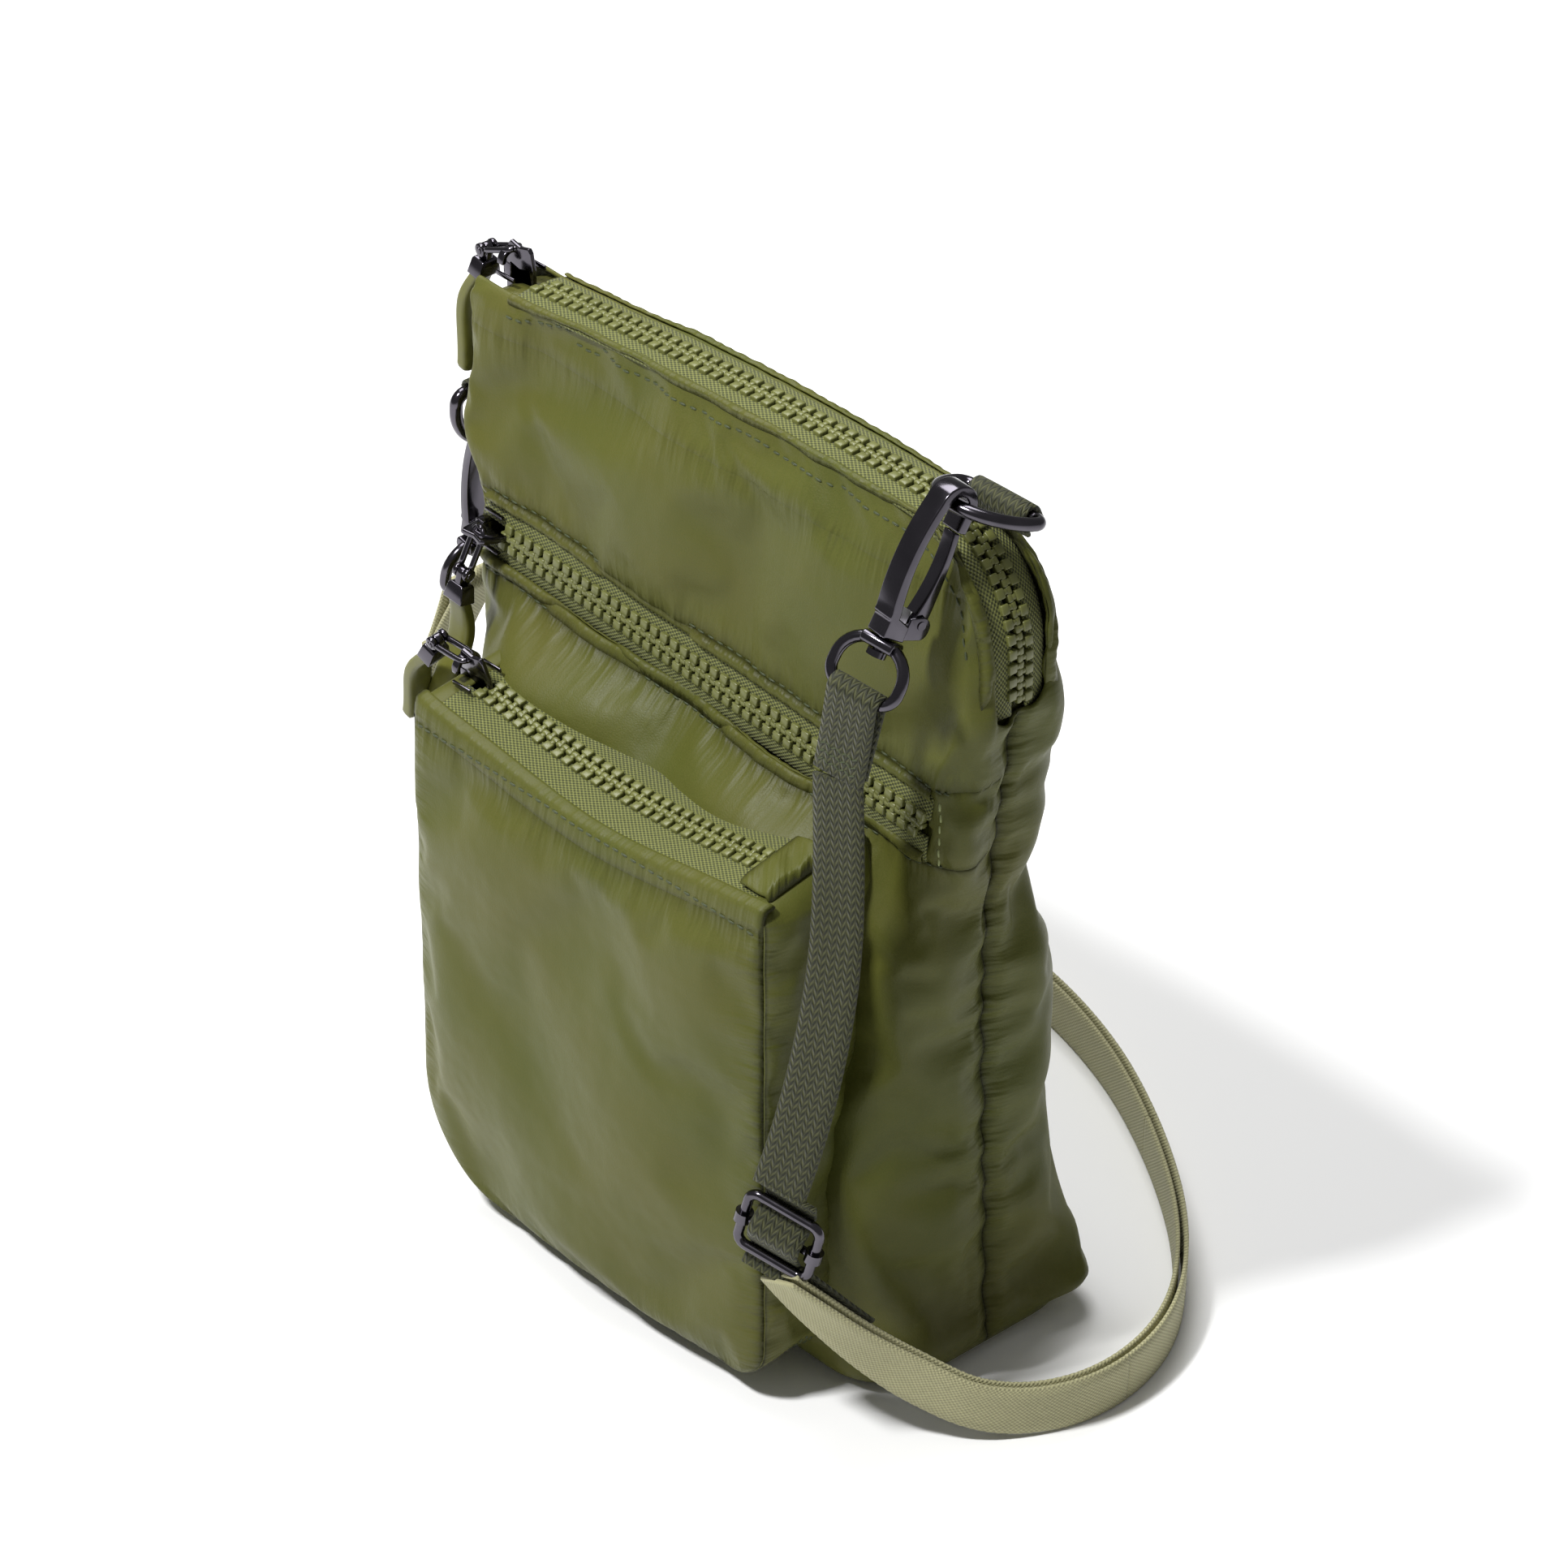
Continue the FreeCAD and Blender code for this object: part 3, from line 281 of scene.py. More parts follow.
class Paint:
    """A Principled material, with a method for each kind of node that it uses."""

    def __init__(self, name, color, roughness, metallic=0.0):
        self.material = bpy.data.materials.new(name)
        self.material.use_nodes = True
        self.tree = self.material.node_tree
        self.shader = self.tree.nodes["Principled BSDF"]
        self.set({"Base Color": (*color, 1), "Roughness": roughness, "Metallic": metallic})

    def feed(self, sockets, inputs):
        """Fills sockets, by name or number: a node's output is linked, anything else is set."""
        for key, value in inputs.items():
            if isinstance(value, bpy.types.NodeSocket):
                self.tree.links.new(value, sockets[key])
            else:
                sockets[key].default_value = value

    def set(self, inputs):
        """Fills the shader's own sockets."""
        self.feed(self.shader.inputs, inputs)

    def node(self, kind, inputs, **settings):
        """The outputs of a new node."""
        node = self.tree.nodes.new(f"ShaderNode{kind}")
        for name, value in settings.items():
            setattr(node, name, value)
        self.feed(node.inputs, inputs)
        return node.outputs

    def math(self, operation, *values):
        """One math node; a value is a number or a socket."""
        return self.node("Math", dict(enumerate(values)), operation=operation)[0]

    def place(self):
        """The object's own coordinates, in metres."""
        return self.node("TexCoord", {})["Object"]

    def along_and_off(self, layer):
        """A UV map's two distances in mm: along the cloth or seam, and across or off it."""
        uv = self.node("UVMap", {}, uv_map=layer)["UV"]
        split = self.node("SeparateXYZ", {"Vector": uv})
        return split["X"], split["Y"]

    def noise(self, source, scale, detail):
        """A noise texture read at a coordinate."""
        return self.node("TexNoise", {"Vector": source, "Scale": scale, "Detail": detail})["Fac"]

    def mix(self, first, second, share):
        """A blend of two heights, with a share of the second."""
        return self.math("ADD", self.math("MULTIPLY", first, 1 - share), self.math("MULTIPLY", second, share))

    def ramp(self, factor, stops):
        """A colour ramp between two or three (position, colour) stops."""
        node = self.tree.nodes.new("ShaderNodeValToRGB")
        elements = node.color_ramp.elements
        while len(elements) < len(stops):
            elements.new(0.5)
        for element, (position, color) in zip(elements, stops):
            element.position = position
            element.color = (*color, 1)
        self.feed(node.inputs, {"Fac": factor})
        return node.outputs["Color"]

    def bump(self, layers):
        """Height layers of (socket, depth in mm), chained into the shader's normal."""
        chain = {}
        for height, depth in layers:
            inputs = {"Distance": depth * MM, "Strength": 1.0, "Height": height, **chain}
            chain = {"Normal": self.node("Bump", inputs)["Normal"]}
        self.set(chain)


def shade(color, factor):
    """A colour made lighter or darker."""
    return tuple(channel * factor for channel in color)


NYLON, NYLON_GREEN, NYLON_GOLD = (0.076, 0.080, 0.0135), (0.066, 0.075, 0.012), (0.086, 0.084, 0.016)
NYLON_SHEEN = (0.75, 0.78, 0.30, 1)
TAPE_LIGHT, TAPE_DARK = (0.190, 0.200, 0.055), (0.035, 0.042, 0.010)
WEB_LIGHT, WEB_DARK = (0.066, 0.068, 0.024), (0.012, 0.014, 0.005)
WEB_PALE = (0.430, 0.412, 0.232)
TEETH = (0.128, 0.135, 0.038)
RUBBER = (0.105, 0.106, 0.014)
GUNMETAL = (0.088, 0.082, 0.096)
STEEL = (0.5, 0.5, 0.5)
THREAD_DARK, THREAD_LIGHT = (0.040, 0.052, 0.016), (0.230, 0.260, 0.100)
PUCKERS_ALONG, PUCKERS_OFF, PUCKER_FADE, DITCH_FADE = 0.26, 0.05, 0.24, 1.1
# How much the ditch beside a seam darkens the nylon's colour: painted shade in the seam's groove.
SEAM_PAINTED_SHADE = 0.8


def seam_relief(paint, layer):
    """Puckers and a ditch beside a seam, from a UV map with the places along and off it."""
    along, off = paint.along_and_off(layer)
    spot = paint.node("CombineXYZ", {"X": paint.math("MULTIPLY", along, PUCKERS_ALONG),
                                     "Y": paint.math("MULTIPLY", off, PUCKERS_OFF)})["Vector"]
    streak = paint.math("SUBTRACT", paint.noise(spot, 1.0, 2.0), 0.5)
    off = paint.math("ABSOLUTE", off)
    mapped = paint.math("GREATER_THAN", off, 1e-4)
    fade = paint.math("EXPONENT", paint.math("MULTIPLY", off, -PUCKER_FADE))
    ditch = paint.math("EXPONENT", paint.math("MULTIPLY", off, -DITCH_FADE))
    puckers = paint.math("MULTIPLY", streak, fade)
    return paint.math("MULTIPLY", puckers, mapped), paint.math("MULTIPLY", ditch, mapped)


def nylon_material():
    """Satin nylon twill: a fine grain, soft folds, puckers that run away from every seam, and painted shade
    that darkens the colour in the ditch beside each seam.
    """
    paint = Paint("nylon_twill", NYLON, 0.42)
    place = paint.place()
    grain, cloud, crease = (paint.noise(place, scale, detail)
                            for scale, detail in ((2300.0, 2.0), (17.0, 3.0), (60.0, 2.0)))
    row_puckers, row_ditch = seam_relief(paint, "cloth")
    side_puckers, side_ditch = seam_relief(paint, "side")
    tones = [(0.34, NYLON_GREEN), (0.50, NYLON), (0.66, NYLON_GOLD)]
    color = paint.ramp(paint.mix(grain, cloud, 0.58), tones)
    # Painted shade: the base colour is darkened in the ditch beside each seam, where shade falls in the
    # groove.
    painted_shade_mask = paint.math("MAXIMUM", row_ditch, side_ditch)
    light = paint.math("SUBTRACT", 1.0, paint.math("MULTIPLY", painted_shade_mask, SEAM_PAINTED_SHADE))
    color_with_painted_shade = paint.node("VectorMath", {0: color, "Scale": light}, operation="SCALE")["Vector"]
    rough = paint.math("ADD", paint.math("MULTIPLY", grain, 0.22), 0.38)
    paint.set({"Base Color": color_with_painted_shade, "Roughness": rough, "Specular IOR Level": 0.22,
               "Sheen Weight": 0.05, "Sheen Roughness": 0.4, "Sheen Tint": NYLON_SHEEN})
    paint.bump([(crease, 1.0), (row_puckers, 2.8), (row_ditch, -1.3),
                (side_puckers, 3.6), (side_ditch, -1.3), (grain, 0.07)])
    return paint.material


def woven_material(name, light, dark, along, across, slant=0.0, depth=0.35, contrast=(0.25, 0.75)):
    """Cloth woven in rows: along and across are the yarn's pitches in mm, slant tilts alternate columns."""
    paint = Paint(name, light, 0.62)
    length, width = paint.along_and_off("cloth")
    column = paint.math("MULTIPLY", width, 1.0 / across)
    tilt = paint.math("MULTIPLY", paint.math("PINGPONG", column, 1.0), slant)
    rows = paint.math("ADD", paint.math("MULTIPLY", length, 1.0 / along), tilt)
    row_wave = paint.math("SINE", paint.math("MULTIPLY", rows, 2 * math.pi))
    if slant:
        rib = paint.math("ABSOLUTE", paint.math("SINE", paint.math("MULTIPLY", column, math.pi)))
        weave = paint.math("MULTIPLY", paint.math("ADD", row_wave, 0.2), rib)
    else:
        column_wave = paint.math("SINE", paint.math("MULTIPLY", column, 2 * math.pi))
        weave = paint.math("MULTIPLY", row_wave, column_wave)
    height = paint.math("ADD", paint.math("MULTIPLY", weave, 0.5), 0.5)
    fuzz = paint.noise(paint.place(), 1800.0, 3.0)
    color = paint.ramp(paint.mix(height, fuzz, 0.25), [(contrast[0], dark), (contrast[1], light)])
    paint.set({"Base Color": color, "Sheen Weight": 0.08, "Specular IOR Level": 0.3})
    paint.bump([(height, depth), (fuzz, 0.12)])
    return paint.material


def plain_material(name, color, roughness, metallic=0.0, grain_scale=400.0, grain_depth=0.03, spread=0.12):
    """A solid surface with slight mottling, uneven roughness and a fine grain."""
    paint = Paint(name, color, roughness, metallic)
    place = paint.place()
    mottle, grain = paint.noise(place, grain_scale / 6, 3.0), paint.noise(place, grain_scale, 2.0)
    tinted = paint.ramp(mottle, [(0.3, shade(color, 1 - spread)), (0.7, shade(color, 1 + spread))])
    uneven = paint.math("ADD", paint.math("MULTIPLY", mottle, roughness * 0.5), roughness * 0.75)
    paint.set({"Base Color": tinted, "Roughness": uneven})
    paint.bump([(grain, grain_depth)])
    return paint.material


def make_materials():
    """Every material, by name."""
    return {
        "nylon": nylon_material(),
        "lining": plain_material("lining_cloth", shade(NYLON, 0.6), 0.8, 0.0, 2500.0, 0.1),
        "tape": woven_material("zip_tape", TAPE_LIGHT, TAPE_DARK, 1.5, 1.1, 0.0, 0.35, (0.28, 0.72)),
        "webbing_pale": woven_material("webbing_back", WEB_PALE, shade(WEB_PALE, 0.62), 1.3, 1.1, 0.0, 0.2,
                                       (0.25, 0.7)),
        "webbing": woven_material("webbing_face", WEB_LIGHT, WEB_DARK, 2.3, 1.25, 0.85, 0.4, (0.32, 0.92)),
        "teeth": plain_material("zip_teeth", TEETH, 0.34, 0.0, 900.0, 0.02),
        "rubber": plain_material("pull_rubber", RUBBER, 0.48, 0.0, 1500.0, 0.03),
        "gunmetal": plain_material("gunmetal", GUNMETAL, 0.17, 1.0, 700.0, 0.008),
        "steel": plain_material("spring_steel", STEEL, 0.3, 1.0),
        "thread_dark": plain_material("thread_dark", THREAD_DARK, 0.6, 0.0, 2500.0),
        "thread_light": plain_material("thread_light", THREAD_LIGHT, 0.6, 0.0, 2500.0),
    }


# ---------------------------------------------------------------- bag shell

BAG_TALL, BASE_DEPTH, RIDGE_DEPTH = 250.0, 40.0, 11.5
FACE_SLOPE = math.atan2(BASE_DEPTH - RIDGE_DEPTH, BAG_TALL)
RIM_HALF, RIM_LEVEL, RIM_ROLL = 9.4, 249.0, 11.0
RIDGE_TURN_X, RIDGE_TURN_Z, RIDGE_TURN_RADIUS = 66.0, 218.0, 32.0
RIGHT_SLOT_FOOT, LEFT_SLOT_FOOT = 206.0, 243.0
MID_LEVEL, MID_TILT, MID_HALF = 178.0, math.radians(-4), 8.2
MID_OPEN_LEFT, MID_OPEN_RIGHT = -88.0, 86.0
SIDE_COLUMNS, CORNER_COLUMNS, FRONT_COLUMNS = 8, 9, 62
BASE_ROUND = 9.0
BULGE, BULGE_FOOT, BULGE_TOP_GAP = 14.0, 134.0, 4.0
RIM_ARCH, RIM_ARCH_MIDDLE, RIM_ARCH_HALF = 4.0, 15.0, 95.0
STITCH_OFF, RIM_STITCH_LEVEL = 3.4, 236.0
FOLD_DEPTH, PINCH_DEPTH, PUFF_DEPTH, SLACK_DEPTH = 0.9, 2.6, 1.5, 2.5
FLARE, FLARE_TOP = 9.0, 42
BASE_RINGS, BASE_ROUND_STEPS, BASE_LEVEL = (0.12, 0.35, 0.6, 0.82), 5, 0.6
WELT_STEPS, WELT_RISE, WELT_EVENING = 6, 1.3, 8
SHELL_THICK, POCKET_THICK, CLOTH_GAP = 1.3, 1.2, 1.6
WIDTH_LEVELS = (0, 45, 90, 130, 165, 206, 235, 250)
WIDTH_HALVES = (91.5, 90.5, 88.8, 88.2, 91.5, 98.0, 98.5, 98.0)


def half_width(level):
    """Half the bag's width at a level, with its waist."""
    return float(np.interp(level, WIDTH_LEVELS, WIDTH_HALVES))


def right_width(level):
    """The same on the right, where the ridge turns down the side."""
    if level <= RIDGE_TURN_Z:
        return half_width(level)
    reach = math.sqrt(max(RIDGE_TURN_RADIUS ** 2 - (level - RIDGE_TURN_Z) ** 2, 0.0))
    return RIDGE_TURN_X + reach * (half_width(level) - RIDGE_TURN_X) / RIDGE_TURN_RADIUS


def half_depth(level):
    """Half the bag's depth at a level: a wedge that rolls over to the rim."""
    wedge = BASE_DEPTH - (BASE_DEPTH - RIDGE_DEPTH) * level / BAG_TALL
    t = np.clip((level - (RIM_LEVEL - RIM_ROLL)) / RIM_ROLL, 0, 1)
    return wedge - (RIDGE_DEPTH - RIM_HALF) * (1 - math.sqrt(1 - t * t)) - 1.2 * smoothstep(190, 240, level)


def section(level, inset=0.0):
    """One level's outline, from the right seam round the front, the left seam and the back."""
    depth, right, left = half_depth(level) - inset, right_width(level) - inset, half_width(level) - inset
    side = np.interp(level, (0, 150, 200), (20, 10.5, RIM_HALF - 0.4)) * max(depth, 1) / (depth + inset)
    side = min(side, depth - 0.3)
    radius = depth - side
    quarter = []
    for i in range(SIDE_COLUMNS):
        quarter.append((0.0, side * i / SIDE_COLUMNS))
    for i in range(CORNER_COLUMNS + 1):
        angle = math.pi / 2 * i / CORNER_COLUMNS
        quarter.append((radius * (1 - math.cos(angle)), side + radius * math.sin(angle)))
    front = [(right - x, -y) for x, y in quarter]
    span = right + left - 2 * radius
    front += [(right - radius - span * i / FRONT_COLUMNS, -depth) for i in range(1, FRONT_COLUMNS)]
    front += [(x - left, -y) for x, y in reversed(quarter)]
    return front + [(x, -y) for x, y in reversed(front[:-1])][:-1]


def shell_levels():
    """Row heights, with rows on the edges of both zip openings."""
    low, high = MID_LEVEL - MID_HALF, MID_LEVEL + MID_HALF
    stops = [(BASE_ROUND, low, 52), (low, high, 6), (high, RIGHT_SLOT_FOOT, 7),
             (RIGHT_SLOT_FOOT, LEFT_SLOT_FOOT, 12), (LEFT_SLOT_FOOT, RIM_LEVEL, 4)]
    levels = []
    for start, end, count in stops:
        levels += [start + (end - start) * i / count for i in range(count)]
    return levels + [RIM_LEVEL]


def pucker(x, y, z):
    """How far cloth stands out near the side seams, in mm: folds that run away from the seam."""
    off_seam = abs(y) + 0.35 * max(0.0, half_width(z) - abs(x))
    side = 1.0 if x > 0 else -1.0
    wave = math.sin(z * 0.47 + side * 0.8 + 1.3 * math.sin(z * 0.11))
    folds = wave * math.exp(-off_seam / 11.0) * FOLD_DEPTH
    pinch = -PINCH_DEPTH * math.exp(-(off_seam / 2.6) ** 2)
    lobes = math.sin(z * 0.16 + (1.5 if y > 0 else 0.2))
    puffs = PUFF_DEPTH * lobes * math.exp(-((off_seam - 14) / 10.0) ** 2)
    loose = smoothstep(6.0, 16.0, off_seam) * (1 - smoothstep(215, 240, z))
    return folds + pinch + puffs + SLACK_DEPTH * long_folds(1.3 * y + x, z) * loose


def front_bulge(x, level):
    """How far the panel between the middle zip and the pocket swells out over the pocket's zip."""
    top = MID_LEVEL - MID_HALF - BULGE_TOP_GAP
    if not BULGE_FOOT < level < top:
        return 0.0
    across = smoothstep(-84, -50, x) * (1 - smoothstep(44, 80, x))
    share = (level - BULGE_FOOT) / (top - BULGE_FOOT)
    return BULGE * across * math.sin(math.pi * share) ** 1.2


def seam_places(x, y, z, level):
    """Distance along and off the nearest line of stitches, then along and off the side seam, in mm."""
    rows = [abs(level - RIM_STITCH_LEVEL) + 1.0]
    if y < -4:
        rows += [abs(level - (MID_LEVEL + way * (MID_HALF + STITCH_OFF))) for way in (1, -1)]
    return (x, min(rows)), (z, abs(y) + max(0.0, half_width(z) - abs(x) - 6.0))


def long_folds(x, z):
    """Wide soft folds that run across slack cloth."""
    first = math.sin(0.085 * z + 0.052 * x + 1.2 * math.sin(0.031 * x))
    second = math.sin(0.047 * z - 0.083 * x + 0.9 * math.sin(0.043 * z))
    return 0.5 * (first + second)


def shell_row(level):
    """One level's points: tilted with the middle zip, arched at the rim, puckered, bulged and flared."""
    row = []
    for x, y in section(level):
        tilt = math.tan(MID_TILT) * np.clip(x, -92, 92) * math.exp(-((level - MID_LEVEL) / 45.0) ** 2)
        arch = RIM_ARCH * math.cos(np.clip((x - RIM_ARCH_MIDDLE) / RIM_ARCH_HALF, -1, 1) * math.pi / 2)
        z = level + tilt * smoothstep(-5.0, 12.0, -y)
        z += smoothstep(LEFT_SLOT_FOOT, RIM_LEVEL, level) * arch
        if abs(level - RIGHT_SLOT_FOOT) < 0.1 and x > 80 and abs(y) < RIM_HALF:
            z += 6.0 * (y / RIM_HALF) ** 2 - 3.0
        out = pucker(x, y, z)
        reach = math.hypot(x, y * 2.5)
        swell = front_bulge(x, level) if y < -12 else 0.0
        flare = FLARE * (1 - smoothstep(0, FLARE_TOP, level)) * smoothstep(55, 92, x) * smoothstep(10, 38, y)
        row.append((x + out * x / reach + flare, y + out * 2.5 * y / reach - swell + 0.2 * flare, z))
    return row


def shell_grid():
    """The shell's rows of points: base rings, then one row for each level."""
    rows = [[(x * scale, y * scale, BASE_LEVEL) for x, y in section(0.0, BASE_ROUND)] for scale in BASE_RINGS]
    for i in range(BASE_ROUND_STEPS):
        angle = math.pi / 2 * i / BASE_ROUND_STEPS
        inset = BASE_ROUND * (1 - math.sin(angle))
        rise = BASE_ROUND * (1 - math.cos(angle))
        rows.append([(x, y, rise) for x, y in section(rise, inset)])
    return rows + [shell_row(level) for level in shell_levels()]


def in_mid_opening(point):
    """Whether a point lies in the middle zip's opening."""
    x, y, z = point
    level = MID_LEVEL + math.tan(MID_TILT) * x
    return y < -8 and MID_OPEN_LEFT < x < MID_OPEN_RIGHT and abs(z - level) < MID_HALF - 0.5


def in_ridge_opening(level, column, count):
    """Whether a face lies in the ridge zip's opening."""
    near_right = column < SIDE_COLUMNS or column >= count - SIDE_COLUMNS
    near_left = abs(column + 0.5 - count / 2) < SIDE_COLUMNS
    foot = RIGHT_SLOT_FOOT if near_right else LEFT_SLOT_FOOT
    return (near_right or near_left) and level >= foot - 0.1


def cloth_pass(obj, pinned, pressure, slack, frames, bending, cap):
    """Puffs a padded shell out between its held points, and keeps each point within a cap of its start."""
    start = np.array([v.co for v in obj.data.vertices])
    group = obj.vertex_groups.new(name="held")
    for index, weight in pinned.items():
        group.add([index], weight, "REPLACE")
    cloth = obj.modifiers.new("cloth", "CLOTH")
    settings = cloth.settings
    settings.quality = 5
    settings.mass = 0.2
    settings.tension_stiffness = 18
    settings.compression_stiffness = 18
    settings.shear_stiffness = 6
    settings.bending_stiffness = bending
    settings.air_damping = 2
    settings.use_pressure = True
    settings.uniform_pressure_force = pressure
    settings.shrink_min = -slack
    settings.vertex_group_mass = "held"
    settings.pin_stiffness = 1.0
    settings.effector_weights.gravity = 0
    cloth.collision_settings.use_collision = False
    cloth.point_cache.frame_start = 1
    cloth.point_cache.frame_end = frames
    scene = bpy.context.scene
    for number in range(1, frames + 1):
        scene.frame_set(number)
    apply_modifiers(obj)
    scene.frame_set(1)
    moved = np.array([v.co for v in obj.data.vertices])
    step = moved - start
    far = np.linalg.norm(step, axis=1, keepdims=True)
    limited = start + step * np.minimum(1.0, cap * MM / np.maximum(far, 1e-9))
    obj.data.vertices.foreach_set("co", limited.ravel())
    obj.data.update()


def thickened(obj, thickness):
    """Gives cloth its thickness inwards, then smooths it."""
    solid = obj.modifiers.new("thickness", "SOLIDIFY")
    solid.thickness = thickness * MM
    solid.offset = -1
    solid.material_offset = 1
    apply_modifiers(obj)
    return subdivided(obj)


def add_side_layer(obj, side_places):
    """A second UV map with the place along the side seam and the distance off it."""
    corners = np.empty(len(obj.data.loops), int)
    obj.data.loops.foreach_get("vertex_index", corners)
    layer = obj.data.uv_layers.new(name="side")
    layer.data.foreach_set("uv", np.array(side_places, float)[corners].ravel())


def open_edge_points(mesh):
    """The points on a mesh's open edges."""
    uses = {}
    for polygon in mesh.polygons:
        for key in polygon.edge_keys:
            uses[key] = uses.get(key, 0) + 1
    return [index for key, count in uses.items() if count == 1 for index in key]


def make_shell(materials):
    """The padded outer cloth of the pouch, with both zip openings."""
    rows = shell_grid()
    count = len(rows[0])
    base_rows = len(rows) - len(shell_levels())
    levels = [0.0] * base_rows + shell_levels()
    points = [point for row in rows for point in row]
    places = [seam_places(*point, level) for row, level in zip(rows, levels) for point in row]
    faces = [list(range(count))]
    for number, corners in enumerate(quads(len(rows), count, ring=True)):
        row, column = divmod(number, count)
        middle = np.mean([points[i] for i in corners], axis=0)
        if not in_mid_opening(middle) and not in_ridge_opening(levels[row], column, count):
            faces.append(corners[::-1])
    row_places, side_places = zip(*places)
    shell = mesh_object("shell", points, faces, materials["nylon"], uvs=row_places)
    add_side_layer(shell, side_places)
    shell.data.materials.append(materials["lining"])
    held = dict.fromkeys(open_edge_points(shell.data), 1.0)
    for index in range(len(points)):
        row, column = divmod(index, count)
        if row <= base_rows or column in (0, count // 2):
            held[index] = 1.0
    cloth_pass(shell, held, pressure=3.0, slack=0.022, frames=16, bending=3.0, cap=6.0)
    return thickened(shell, SHELL_THICK)


# ---------------------------------------------------------------- patch pocket

POCKET_LEFT, POCKET_RIGHT, POCKET_FRONT, POCKET_FOOT, POCKET_TOP = -68.5, 68.5, -60.5, 6.0, 152.0
POCKET_LEFT_CORNER, POCKET_RIGHT_CORNER = 34.0, 13.0
POCKET_ROWS, POCKET_COLUMNS, GUSSET_ROWS = 54, 50, 12
POCKET_EDGE_STEPS = 34
POCKET_ZIP_TILT = math.radians(12)
TURNED_ROWS = (0.9, 2.6, 4.6)
GUSSET_LID = (2.5, 5.0, 8.0)
POCKET_CROWN, POCKET_PILLOW, POCKET_FOLDS = 3.0, 1.5, 2.1
POCKET_CHAIN_Y, POCKET_CHAIN_Z = -43.4, 157.1
END_TAB_LEFT, END_TAB_RIGHT, END_TAB_FRONT, END_TAB_BACK = 54.0, 66.0, 11.0, 9.0
END_TAB_ACROSS, END_TAB_DEEP, FACING_HALF = 12, 14, 8.4


def face_y(level):
    """Y of the bag's front face at a level."""
    return -(BASE_DEPTH - (BASE_DEPTH - RIDGE_DEPTH) * level / BAG_TALL)


def pocket_sag(x):
    """How far the pocket's top sags at a place along it."""
    return 6.0 * max(0.0, math.cos(math.pi / 2 * np.clip(x / 66.0, -1, 1))) ** 1.3


def pocket_lid(x, y):
    """The level of the pocket's top at a place: the plane of its zip, sagging in the middle."""
    return POCKET_CHAIN_Z - pocket_sag(x) - (POCKET_CHAIN_Y - y) * math.tan(POCKET_ZIP_TILT)


def pocket_side(level, right):
    """X of the pocket's side at a level, round its lower corner."""
    radius = POCKET_RIGHT_CORNER if right else POCKET_LEFT_CORNER
    drop = max(0.0, POCKET_FOOT + radius - level)
    inset = radius - math.sqrt(max(radius ** 2 - drop ** 2, 0.0))
    return POCKET_RIGHT - inset if right else POCKET_LEFT + inset


def pocket_rows():
    """Row heights, closer together at the foot, where the corners turn."""
    tall = POCKET_TOP - POCKET_FOOT
    return [POCKET_FOOT + tall * (i / POCKET_ROWS) ** 1.15 for i in range(POCKET_ROWS + 1)]


def make_pocket_panel(materials):
    """The pocket's front, a slack pillow sewn round its edge, turned over the zip's tape at the top."""
    points, uvs, sides, held = [], [], [], {}
    width = POCKET_COLUMNS + 1
    rows = pocket_rows()
    for r in range(len(rows) + len(TURNED_ROWS)):
        level = rows[min(r, POCKET_ROWS)]
        left, right = pocket_side(level, False), pocket_side(level, True)
        for c in range(width):
            x = left + (right - left) * c / POCKET_COLUMNS
            edge = min(x - left, right - x, level - POCKET_FOOT)
            crown = POCKET_CROWN * (1 - math.exp(-max(edge, 0.0) / 5.0))
            crown += POCKET_PILLOW * math.sin(math.pi * c / POCKET_COLUMNS)
            crown += POCKET_FOLDS * long_folds(x, level) * smoothstep(2.0, 16.0, edge)
            crown *= 1 - 0.75 * smoothstep(POCKET_TOP - 14, POCKET_TOP, level)
            y = POCKET_FRONT + CLOTH_GAP - crown
            z = level - pocket_sag(x) * smoothstep(POCKET_TOP - 70, POCKET_TOP, level)
            if r > POCKET_ROWS:
                y += TURNED_ROWS[r - POCKET_ROWS - 1]
                z = pocket_lid(x, y) + 1.3
            elif r == POCKET_ROWS:
                z = min(z, pocket_lid(x, y) - 0.6)
            if r == 0 or r >= POCKET_ROWS - 1 or c in (0, POCKET_COLUMNS):
                held[len(points)] = 1.0
            points.append((x, y, z))
            uvs.append((x, max(0.0, min(level - POCKET_FOOT, abs(POCKET_TOP - 4.0 - level)))))
            sides.append((level, min(x - left, right - x)))
    faces = quads(len(rows) + len(TURNED_ROWS), width)
    panel = mesh_object("pocket_front", points, faces, materials["nylon"], uvs=uvs)
    panel.data.materials.append(materials["lining"])
    add_side_layer(panel, sides)
    cloth_pass(panel, held, pressure=2.0, slack=0.012, frames=14, bending=4.0, cap=5.0)
    return thickened(panel, POCKET_THICK)


def pocket_edge():
    """The line round the pocket: down the left side, along the foot and up the right side."""
    levels = pocket_rows()
    line = [(pocket_side(level, False), level) for level in reversed(levels)]
    left, right = line[-1][0], pocket_side(POCKET_FOOT, True)
    steps = range(1, POCKET_EDGE_STEPS)
    line += [(left + (right - left) * i / POCKET_EDGE_STEPS, POCKET_FOOT) for i in steps]
    return line + [(pocket_side(level, True), level) for level in levels]


